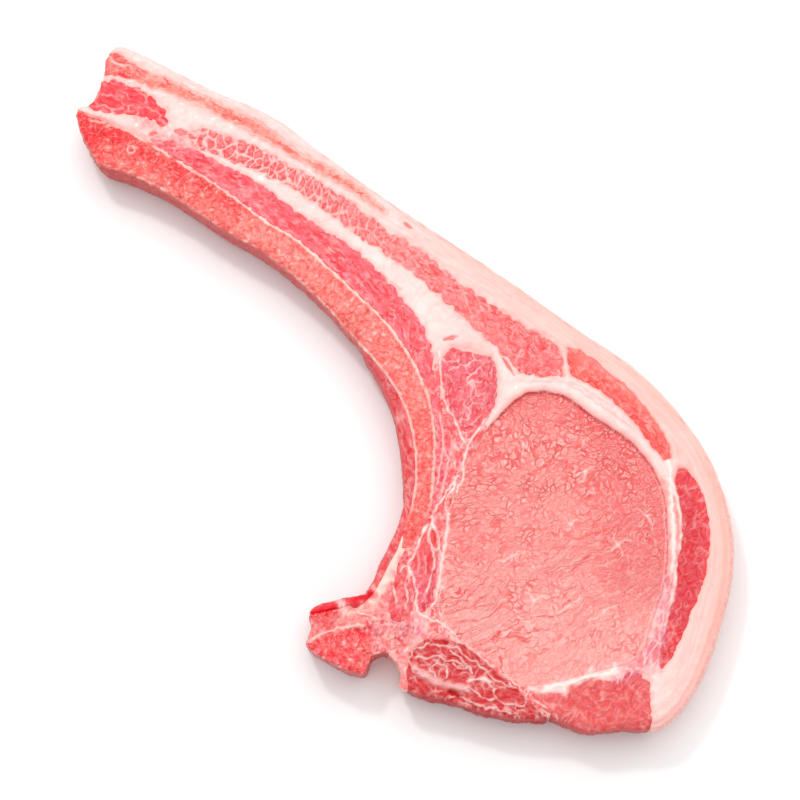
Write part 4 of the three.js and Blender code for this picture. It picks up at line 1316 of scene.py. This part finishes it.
            # Painted shade inside the backbone's canal; the curling dark lines are a pattern of the wall
            # itself
            notch_shade = bell(np.hypot(x - NOTCH_SHADE[0], y - NOTCH_SHADE[1]), NOTCH_SHADE[2])
            row_masks["crease"] = np.maximum(0.6 * curls(x + y, height, 2.6, 0.3, 33), notch_shade)
            for name in ("blood", "shade", "bundles", "furrow"):
                row_masks[name] = masks[name]
            self.add_vertices(positions, row_masks, min(1.0, row / 4), 1.0, chosen, z - height)
        for (down, right), (first, second) in {
            (0, 1): ((-1, 0), (0, 0)), (1, 0): ((0, 0), (0, -1)),
            (0, -1): ((0, -1), (-1, -1)), (-1, 0): ((-1, -1), (-1, 0)),
        }.items():
            neighbour = np.roll(grid.label, (-down, -right), (0, 1))
            rows, columns = np.nonzero(self.mine & (neighbour != self.label))
            facing_air = neighbour[rows, columns] == AIR
            u = rows + first[0], columns + first[1]
            v = rows + second[0], columns + second[1]
            self.add_open_wall(tuple(a[facing_air] for a in u), tuple(a[facing_air] for a in v))
            hidden = ~facing_air
            for one, other in zip(zip(u[0][hidden], u[1][hidden]), zip(v[0][hidden], v[1][hidden])):
                self.add_hidden_wall(one, other)

    def wall_column(self, square):
        rows = [self.columns[square] + row * self.row_size for row in range(WALL_ROWS)]
        return [self.index[square], *rows, self.foot_index[square]]

    def add_open_wall(self, u, v):
        """Rows of faces from the upper edge to the foot."""
        down_u, down_v = self.wall_column(u), self.wall_column(v)
        for row in range(WALL_ROWS + 1):
            self.add_faces(np.stack([down_v[row], down_u[row], down_u[row + 1], down_v[row + 1]], 1))

    def add_hidden_wall(self, u, v):
        """One face against the neighbouring piece."""
        ends = []
        for square in (u, v):
            column = self.wall_column(square)
            ends.append(column if self.columns[square] >= 0 else [column[0], column[-1]])
        self.add_faces([[ends[1][0], *ends[0], *reversed(ends[1][1:])]], flat=True)

    def build(self, name):
        mesh = bpy.data.meshes.new(name)
        points = np.concatenate(self.points) * MM
        sizes = np.concatenate([np.full(len(faces), len(faces[0])) for faces in self.faces])
        corners = np.concatenate([np.asarray(faces).ravel() for faces in self.faces])
        mesh.vertices.add(len(points))
        mesh.vertices.foreach_set("co", points.astype(np.float32).ravel())
        mesh.loops.add(len(corners))
        mesh.loops.foreach_set("vertex_index", corners.astype(np.int32))
        mesh.polygons.add(len(sizes))
        starts = np.concatenate([[0], np.cumsum(sizes)[:-1]])
        mesh.polygons.foreach_set("loop_start", starts.astype(np.int32))
        mesh.polygons.foreach_set("loop_total", sizes.astype(np.int32))
        mesh.polygons.foreach_set("use_smooth", ~np.concatenate(self.flat))
        mesh.update(calc_edges=True)
        for mask, parts in self.masks.items():
            attribute = mesh.attributes.new(mask, "FLOAT", "POINT")
            attribute.data.foreach_set("value", np.concatenate(parts).astype(np.float32))
        flow = mesh.attributes.new("flow", "FLOAT_VECTOR", "POINT")
        flow.data.foreach_set("vector", (np.concatenate(self.flow) * MM).astype(np.float32).ravel())
        piece = bpy.data.objects.new(name, mesh)
        bpy.context.scene.collection.objects.link(piece)
        return piece


_slice = {}


def the_slice():
    """The grid is worked out once and shared by all pieces."""
    if "grid" not in _slice:
        _slice["grid"] = Slice(bpy.context.scene.chop_sizes)
    return _slice["grid"]


def make_piece(node, material):
    """Replaces a solid by its finished mesh."""
    piece = PieceMesh(the_slice(), node).build(node + "_surface")
    piece.data.materials.append(material)
    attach(piece, "root")
    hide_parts(node)
    return piece


# ---- Materials ----------------------------------------------------------------------------------


def add_node(tree, kind, inputs=None, **settings):
    """Adds one node with its settings; an input is given a value or the output that feeds it."""
    node = tree.nodes.new(kind)
    for name, value in settings.items():
        setattr(node, name, value)
    for socket, value in (inputs or {}).items():
        if isinstance(value, bpy.types.NodeSocket):
            tree.links.new(value, node.inputs[socket])
        else:
            node.inputs[socket].default_value = value
    return node


class Finish:
    """A material whose colour is built up in layers over the masks of its piece."""

    def __init__(self, name):
        self.material = bpy.data.materials.new(name)
        self.material.use_nodes = True
        self.tree = self.material.node_tree
        self.tree.nodes.clear()
        self.mask = {
            name: add_node(self.tree, "ShaderNodeAttribute", attribute_name=name).outputs["Fac"]
            for name in (*MASKS, "side", "core")
        }
        self.place = add_node(self.tree, "ShaderNodeTexCoord").outputs["Object"]
        self.flow = add_node(self.tree, "ShaderNodeAttribute", attribute_name="flow").outputs["Vector"]

    def scaled(self, value, low, high, start=0.0, end=1.0):
        """A value's run from start to end, stretched to run from low to high."""
        inputs = {0: value, 1: start, 2: end, 3: low, 4: high}
        return add_node(self.tree, "ShaderNodeMapRange", inputs).outputs[0]

    def mix(self, share, under, over):
        """One colour laid over another, as far as its share says."""
        inputs = {0: share, 6: under, 7: over}
        return add_node(self.tree, "ShaderNodeMix", inputs, data_type="RGBA").outputs[2]

    def noise(self, size, detail=2.0, place=None):
        """Noise with a pattern of a size in millimetres."""
        settings = {"Vector": place or self.place, "Scale": 1 / (size * MM), "Detail": detail}
        return add_node(self.tree, "ShaderNodeTexNoise", settings).outputs["Fac"]

    def line(self, value, middle, width, strength=1.0):
        """A thin line where a value passes its middle, as a mask."""
        away = self.sum("ABSOLUTE", self.sum("SUBTRACT", value, middle))
        return self.scaled(away, strength, 0.0, 0.3 * width, width)

    def curl_lines(self, size, width):
        """Thin curling lines of a size, as a mask."""
        return self.line(self.noise(size, 1.0), 0.5, width)

    def sum(self, operation, *values):
        return add_node(self.tree, "ShaderNodeMath", dict(enumerate(values)), operation=operation).outputs[0]

    def vector(self, operation, inputs):
        return add_node(self.tree, "ShaderNodeVectorMath", inputs, operation=operation).outputs[0]

    def fibres(self, long, wide):
        """Places along and across the fibres, drawn together so that a long length seems only wide."""
        return self.vector("MULTIPLY", {0: self.flow, 1: (wide / long, 1.0, 1.0)})

    def border(self, size, place=None):
        """Distance in millimetres to the wavy border of cells of a size."""
        place = place or self.place
        wave = add_node(self.tree, "ShaderNodeTexNoise", {
            "Vector": place, "Scale": 1 / (1.6 * size * MM), "Detail": 2.0}).outputs["Color"]
        shift = self.vector("SUBTRACT", {0: wave, 1: (0.5, 0.5, 0.5)})
        shift = self.vector("SCALE", {0: shift, "Scale": 1.3 * size * MM})
        border = add_node(self.tree, "ShaderNodeTexVoronoi", {
            "Vector": self.vector("ADD", {0: place, 1: shift}), "Scale": 1 / (size * MM)},
            feature="DISTANCE_TO_EDGE").outputs["Distance"]
        return self.sum("MULTIPLY", border, size)

    def bumps(self, height, strength, depth):
        """Fine relief of a depth in millimetres."""
        settings = {"Height": height, "Strength": strength, "Distance": depth * MM}
        return add_node(self.tree, "ShaderNodeBump", settings).outputs[0]

    def close(self, colour, roughness, normal, settings):
        shader = add_node(self.tree, "ShaderNodeBsdfPrincipled", {
            "Base Color": colour, "Roughness": roughness, "Normal": normal, "Coat Normal": normal, **settings,
        })
        add_node(self.tree, "ShaderNodeOutputMaterial", {"Surface": shader.outputs["BSDF"]})
        return self.material


def tinted(colour, red, green, blue):
    return tuple(min(1.0, part * by) for part, by in zip(colour, (red, green, blue))) + (1.0,)


def raw_lean_pork(name, colour, bundle=(4.0, 2.2), contrast=1.0, second=None, shaded_wall=None):
    """Raw lean pork, cut with a knife: wet bundles of fibres with deeper red between them, partly painted
    shade in the grooves, and painted highlights beside them.
    """
    colours = bpy.context.scene.chop_colours
    finish = Finish(name)
    mask = finish.mask
    pale, deep = 1 + 0.85 * contrast, 1 - 0.65 * contrast
    tone = finish.scaled(mask["tone"], 0.0, 1.0, -1.0, 1.0)
    base = finish.mix(tone, tinted(colour, 1 - 0.12 * contrast, deep, deep), tinted(colour, 1.04, pale, pale))
    if second:
        base = finish.mix(mask["shade"], base, second)
    speckle = finish.scaled(mask["tag"], 0.0, 0.2)
    base = finish.mix(speckle, base, tinted(colour, 1.0, 1.6, 1.6))
    fibres = finish.fibres(*bundle)
    border = finish.border(bundle[1], fibres)
    finer = finish.border(0.55 * bundle[1], fibres)
    patches = finish.sum("MULTIPLY", finish.scaled(finish.noise(5.0), 0.45, 1.0, 0.4, 0.6), mask["bundles"])
    furrow = finish.noise(2.3, 1.0, finish.fibres(9.0, 1.0))
    # Dark lines at the bundles' borders and along the furrows: partly darker tissue, partly painted shade in
    # the grooves. Light lines beside them and fine pale curls: painted highlights
    groove_lines_and_shade = finish.sum(
        "MAXIMUM", finish.sum("MULTIPLY", finish.scaled(border, 1.0, 0.0, 0.08, 0.36), patches),
        finish.sum("MULTIPLY", finish.line(furrow, 0.5, 0.04), mask["furrow"]))
    groove_lines_and_shade = finish.sum("MAXIMUM", groove_lines_and_shade, finish.scaled(finer, 0.35, 0.0, 0.0, 0.14))
    painted_highlight_lines = finish.sum(
        "MAXIMUM", finish.sum("MULTIPLY", finish.line(border, 0.42, 0.17), patches),
        finish.sum("MULTIPLY", finish.line(furrow, 0.548, 0.03, 0.55), mask["furrow"]))
    painted_highlight_lines = finish.sum("MAXIMUM", painted_highlight_lines, finish.scaled(finish.curl_lines(1.0, 0.035), 0.0, 0.45))
    base = finish.mix(groove_lines_and_shade, base, tinted(colour, 0.86, 0.3, 0.33))
    base = finish.mix(finish.scaled(painted_highlight_lines, 0.0, 0.8), base, tinted(colour, 1.04, 2.3, 2.3))
    # Painted highlights beside the creases, and pale streaks and specks of the meat
    base = finish.mix(finish.scaled(mask["light"], 0.0, 0.75), base, tinted(colour, 1.04, 2.5, 2.5))
    base = finish.mix(mask["sheath"], base, tuple(colours.sheath))
    # Dark creases: partly darker tissue, partly painted shade in grooves, crevices and hollows
    base = finish.mix(mask["crease"], base, tinted(colour, 0.8, 0.16, 0.2))
    base = finish.mix(mask["web"], base, tuple(colours.tissue))
    base = finish.mix(mask["blood"], base, tuple(colours.blood))
    # The side walls take a darker copy of the meat's colour: partly their own darker surface, partly painted
    # shade
    wall_share = finish.scaled(mask["side"], 0.0, 0.8)
    base = finish.mix(wall_share, base, shaded_wall or tinted(colour, 0.7, 0.36, 0.42))
    ripple = finish.sum("SUBTRACT", finish.noise(1.0, 3.0), finish.scaled(groove_lines_and_shade, 0.0, 0.8))
    ripple = finish.sum("ADD", ripple, finish.scaled(painted_highlight_lines, 0.0, 0.3))
    return finish.close(base, 0.42, finish.bumps(ripple, 0.7, 0.35), {
        "IOR": 1.38, "Specular IOR Level": 0.08, "Subsurface Weight": finish.scaled(mask["core"], 0.0, 0.1),
        "Subsurface Radius": (1.0, 0.35, 0.28), "Subsurface Scale": 0.0005,
        "Coat Weight": 0.3, "Coat Roughness": 0.05, "Coat IOR": 1.36,
    })


def sawn_bone(name, colour):
    """Sawn pork bone: red marrow packed in fine pores, with a hard white shell."""
    colours = bpy.context.scene.chop_colours
    finish = Finish(name)
    mask = finish.mask
    tone = finish.scaled(mask["tone"], 0.0, 1.0, -1.0, 1.0)
    base = finish.mix(tone, tinted(colour, 0.92, 0.36, 0.38), tinted(colour, 1.03, 1.9, 1.9))
    coral = tuple(colours.coral)
    flesh = finish.mix(tone, tinted(coral, 0.95, 0.62, 0.7), tinted(coral, 1.02, 1.9, 1.9))
    base = finish.mix(mask["meaty"], base, flesh)
    base = finish.mix(mask["sheath"], base, tuple(colours.sheath))
    base = finish.mix(mask["blood"], base, tuple(colours.blood))
    # Dark lines at the pores' borders: partly darker marrow, partly painted shade in the pores
    pores = finish.border(2.3)
    base = finish.mix(finish.scaled(pores, 0.4, 0.0, 0.0, 0.24), base, tinted(colour, 0.9, 0.3, 0.34))
    base = finish.mix(finish.scaled(finish.curl_lines(2.2, 0.022), 0.0, 0.4), base, tuple(colours.shell))
    # Dark creases, partly painted shade; the light mask adds pale curls and a painted highlight inside the
    # lumps' borders
    base = finish.mix(mask["crease"], base, tinted(colour, 0.88, 0.22, 0.25))
    base = finish.mix(finish.scaled(mask["light"], 0.0, 0.7), base, tinted(colour, 1.04, 2.4, 2.4))
    base = finish.mix(mask["web"], base, tuple(colours.shell))
    # The side walls take a darker copy of the bone's colour: partly their own darker surface, partly painted
    # shade
    wall_share = finish.scaled(mask["side"], 0.0, 0.85)
    base = finish.mix(wall_share, base, tinted(colour, 0.66, 0.24, 0.28))
    return finish.close(base, 0.4, finish.bumps(finish.sum("ADD", pores, finish.noise(1.5)), 0.8, 0.5), {
        "IOR": 1.42, "Specular IOR Level": 0.12, "Subsurface Weight": finish.scaled(mask["core"], 0.0, 0.1),
        "Subsurface Radius": (1.0, 0.4, 0.3), "Subsurface Scale": 0.0007,
        "Coat Weight": 0.5, "Coat Roughness": 0.06, "Coat IOR": 1.36,
    })


def firm_pork_fat(name, white):
    """Firm back fat, knife-cut: waxy white, peach beside the skin, a moist even sheen."""
    colours = bpy.context.scene.chop_colours
    finish = Finish(name)
    mask = finish.mask
    tone = finish.scaled(mask["tone"], 0.0, 1.0, -0.8, 0.8)
    base = finish.mix(tone, tinted(white, 0.99, 0.64, 0.62), tinted(white, 1.0, 1.14, 1.15))
    base = finish.mix(mask["shade"], base, tuple(colours.skin))
    speckle = finish.scaled(mask["tag"], 0.0, 0.22)
    base = finish.mix(speckle, base, tinted(white, 1.0, 0.86, 0.85))
    coral = tuple(colours.coral)
    flesh = finish.mix(tone, tinted(coral, 0.97, 0.62, 0.68), tinted(coral, 1.03, 1.6, 1.65))
    base = finish.mix(mask["meaty"], base, flesh)
    wall_share = finish.scaled(mask["side"], 0.0, 0.8)
    base = finish.mix(wall_share, base, tinted(tuple(colours.skin), 1.0, 0.92, 0.88))
    base = finish.mix(mask["sheath"], base, tuple(colours.sheath))
    folds = finish.mix(mask["meaty"], tinted(white, 0.96, 0.4, 0.38), tinted(coral, 0.84, 0.34, 0.4))
    base = finish.mix(mask["crease"], base, folds)
    base = finish.mix(mask["web"], base, tinted(white, 1.0, 1.1, 1.08))
    base = finish.mix(mask["blood"], base, tuple(colours.dark))
    return finish.close(base, 0.45, finish.bumps(finish.noise(2.0, 3.0), 0.3, 0.4), {
        "IOR": 1.45, "Specular IOR Level": 0.25, "Subsurface Weight": finish.scaled(mask["core"], 0.0, 0.35),
        "Subsurface Radius": (1.0, 0.6, 0.5), "Subsurface Scale": 0.0014,
        "Coat Weight": 0.4, "Coat Roughness": 0.14, "Coat IOR": 1.4,
    })


# ---- Operators ----------------------------------------------------------------------------------


class CHOP_OT_bones(bpy.types.Operator):
    """Make the sawn rib and the piece of backbone"""

    bl_idname = "chop.bones"
    bl_label = "Bones"

    def execute(self, context):
        marrow = tuple(context.scene.chop_colours.marrow)
        make_piece("rib_bone", sawn_bone("sawn_rib_bone", marrow))
        make_piece("chine_bone", sawn_bone("sawn_backbone", tinted(marrow, 0.97, 0.86, 1.0)))
        return {"FINISHED"}


class CHOP_OT_loin(bpy.types.Operator):
    """Make the loin eye"""

    bl_idname = "chop.loin"
    bl_label = "Loin eye"

    def execute(self, context):
        loin = tuple(context.scene.chop_colours.loin)
        dusky = tinted(loin, 0.88, 0.72, 0.78)
        make_piece("loin_eye", raw_lean_pork("raw_loin_lean", loin, (2.6, 2.1), 0.8, second=dusky))
        return {"FINISHED"}


class CHOP_OT_muscles(bpy.types.Operator):
    """Make the muscles round the loin eye"""

    bl_idname = "chop.muscles"
    bl_label = "Muscles"

    def execute(self, context):
        colours = context.scene.chop_colours
        dark, coral, rosy = tuple(colours.dark), tuple(colours.coral), tuple(colours.rosy)
        mauve = tinted(rosy, 0.9, 0.95, 1.35)
        dusky = tinted(dark, 0.8, 1.12, 1.3)
        trimmed, lower = tinted(dark, 0.91, 1.04, 0.98), tinted(rosy, 0.9, 0.86, 0.7)
        cap, front = tinted(dark, 1.06, 1.05, 1.02), tinted(coral, 1.03, 0.75, 0.66)
        side, rib = tinted(rosy, 0.98, 1.19, 1.14), tinted(rosy, 1.03, 1.0, 1.0)
        # Darker copies of the colours for the side walls: partly the walls' own darker surface, partly
        # painted shade
        trimmed_shaded_wall, lower_shaded_wall = tinted(trimmed, 0.72, 0.5, 0.55), tinted(lower, 0.7, 0.5, 0.52)
        make_piece("cap_back", raw_lean_pork("raw_cap_lean", cap, (3.0, 2.4), second=dusky))
        make_piece("back_muscle", raw_lean_pork("raw_trimmed_lean", trimmed, shaded_wall=trimmed_shaded_wall))
        make_piece("lower_muscle", raw_lean_pork("raw_lower_lean", lower, shaded_wall=lower_shaded_wall))
        make_piece("side_muscle", raw_lean_pork("raw_side_lean", side, second=mauve))
        make_piece("rib_muscle", raw_lean_pork("raw_rib_lean", rib, second=mauve))
        make_piece("cap_front", raw_lean_pork("raw_front_cap_lean", front))
        neck = raw_lean_pork("raw_neck_lean", tinted(coral, 0.9, 0.54, 0.61), second=mauve)
        for node in ("neck_muscle", "rib_root_muscle"):
            make_piece(node, neck)
        return {"FINISHED"}


class CHOP_OT_belly(bpy.types.Operator):
    """Make the three layers of belly meat"""

    bl_idname = "chop.belly"
    bl_label = "Belly"

    def execute(self, context):
        colours = context.scene.chop_colours
        coral, pale = tuple(colours.coral), tuple(colours.pale)
        tip = tinted(tuple(colours.rosy), 1.08, 0.65, 0.65)
        mauve = tinted(coral, 1.0, 0.82, 1.0)
        make_piece("belly_middle", raw_lean_pork("raw_belly_lean", coral, second=mauve))
        make_piece("belly_outer", raw_lean_pork("raw_pale_belly_lean", pale, second=tip))
        make_piece("belly_tip", raw_lean_pork("raw_belly_tip_lean", tip))
        return {"FINISHED"}


class CHOP_OT_lining(bpy.types.Operator):
    """Make the wet red lining and the tendon on the rib's hollow side"""

    bl_idname = "chop.lining"
    bl_label = "Lining"

    def execute(self, context):
        colours = context.scene.chop_colours
        lining = tuple(colours.lining)
        grey = tinted(lining, 0.75, 1.1, 1.3)
        # Darker copy of the lining for its side walls: partly its own darker surface, partly painted shade
        shaded_wall = tinted(lining, 0.8, 0.7, 0.7)
        make_piece("rib_lining", raw_lean_pork("rib_lining_membrane", lining, second=grey, shaded_wall=shaded_wall))
        make_piece("rib_tendon", firm_pork_fat("cream_tendon", tinted(tuple(colours.fat), 1.0, 0.95, 0.88)))
        return {"FINISHED"}


class CHOP_OT_fat(bpy.types.Operator):
    """Make the fat rim and seams"""

    bl_idname = "chop.fat"
    bl_label = "Fat"

    def execute(self, context):
        make_piece("fat", firm_pork_fat("firm_pork_fat", tuple(context.scene.chop_colours.fat)))
        return {"FINISHED"}


CAMERA_AIM = (-0.25, -7.25, 20.0)  # point of the cut face that the camera looks at, mm
CAMERA_ELEVATION = 80.0  # degrees above the floor
CAMERA_DISTANCE = 755.6  # mm
LENS = 100.0  # mm
FLOOR_HALF = 3.0  # metres
FLOOR_GREYS = 0.885, 0.895  # the floor's darkest and lightest tone
WORLD_STRENGTH = 0.62  # even light from all round
SUN_STRENGTH = 1.62
SUN_SPREAD = 60.0  # degrees; a wide lamp, so that shadows are soft
GLINT_WATTS = 2.6  # small lamp that makes the wet surface glint


class CHOP_OT_stage(bpy.types.Operator):
    """Make the pale floor, the soft light and the camera"""

    bl_idname = "chop.stage"
    bl_label = "Stage"

    def execute(self, context):
        self.make_floor()
        self.make_light()
        self.make_camera()
        return {"FINISHED"}

    def make_floor(self):
        mesh = bpy.data.meshes.new("floor")
        corners = [(-1, -1, 0), (1, -1, 0), (1, 1, 0), (-1, 1, 0)]
        mesh.from_pydata([(x * FLOOR_HALF, y * FLOOR_HALF, z) for x, y, z in corners], [], [(0, 1, 2, 3)])
        floor = bpy.data.objects.new("floor", mesh)
        bpy.context.scene.collection.objects.link(floor)
        material = bpy.data.materials.new("matt_white_board")
        material.use_nodes = True
        tree = material.node_tree
        tree.nodes.clear()
        mottle = add_node(tree, "ShaderNodeTexNoise", {"Scale": 2.0}).outputs["Fac"]
        greys = {0: mottle, 3: FLOOR_GREYS[0], 4: FLOOR_GREYS[1]}
        colour = add_node(tree, "ShaderNodeMapRange", greys).outputs[0]
        shader = add_node(tree, "ShaderNodeBsdfDiffuse", {"Color": colour})
        add_node(tree, "ShaderNodeOutputMaterial", {"Surface": shader.outputs[0]})
        mesh.materials.append(material)

    def make_light(self):
        world = bpy.data.worlds.new("studio")
        world.use_nodes = True
        background = world.node_tree.nodes["Background"]
        background.inputs["Color"].default_value = (1.0, 1.0, 1.0, 1.0)
        background.inputs["Strength"].default_value = WORLD_STRENGTH
        bpy.context.scene.world = world
        self.add_lamp("overhead", "SUN", SUN_STRENGTH, (0.0, 0.35, 0.9), angle=math.radians(SUN_SPREAD))
        self.add_lamp("glints", "AREA", GLINT_WATTS, (-0.3, 0.55, 0.95), size=0.1)
        bpy.context.scene.view_settings.view_transform = "Standard"

    def add_lamp(self, name, kind, energy, place, **settings):
        light = bpy.data.lights.new(name, kind)
        light.energy = energy
        for setting, value in settings.items():
            setattr(light, setting, value)
        lamp = bpy.data.objects.new(name, light)
        lamp.location = place
        lamp.rotation_euler = (-lamp.location).to_track_quat("-Z", "Y").to_euler()
        bpy.context.scene.collection.objects.link(lamp)

    def make_camera(self):
        data = bpy.data.cameras.new("camera")
        data.lens = LENS
        data.sensor_width = 36.0
        camera = bpy.data.objects.new("camera", data)
        rise = math.radians(CAMERA_ELEVATION)
        back = Vector((0.0, -math.cos(rise), math.sin(rise)))
        camera.location = (Vector(CAMERA_AIM) + back * CAMERA_DISTANCE) * MM
        camera.rotation_euler = back.to_track_quat("Z", "Y").to_euler()
        bpy.context.scene.collection.objects.link(camera)
        bpy.context.scene.camera = camera


class CHOP_PT_panel(bpy.types.Panel):
    """Sizes, colours and the steps that build the chop"""

    bl_idname = "CHOP_PT_panel"
    bl_label = "Raw pork chop"
    bl_space_type = "VIEW_3D"
    bl_region_type = "UI"
    bl_category = "Pork Chop"

    def draw(self, context):
        for group in (context.scene.chop_sizes, context.scene.chop_colours):
            box = self.layout.box()
            for name in group.__annotations__:
                box.prop(group, name)
        for step in STEPS:
            self.layout.operator(step.bl_idname)


STEPS = (
    CHOP_OT_bones, CHOP_OT_loin, CHOP_OT_muscles, CHOP_OT_belly, CHOP_OT_lining, CHOP_OT_fat, CHOP_OT_stage,
)
CLASSES = (ChopSizes, ChopColours, *STEPS, CHOP_PT_panel)


def register():
    for cls in CLASSES:
        bpy.utils.register_class(cls)
    bpy.types.Scene.chop_sizes = PointerProperty(type=ChopSizes)
    bpy.types.Scene.chop_colours = PointerProperty(type=ChopColours)


def unregister():
    del bpy.types.Scene.chop_sizes
    del bpy.types.Scene.chop_colours
    for cls in reversed(CLASSES):
        bpy.utils.unregister_class(cls)


def main():
    register()
    for step in STEPS:
        area, name = step.bl_idname.split(".")
        getattr(getattr(bpy.ops, area), name)()


if __name__ == "__main__":
    main()
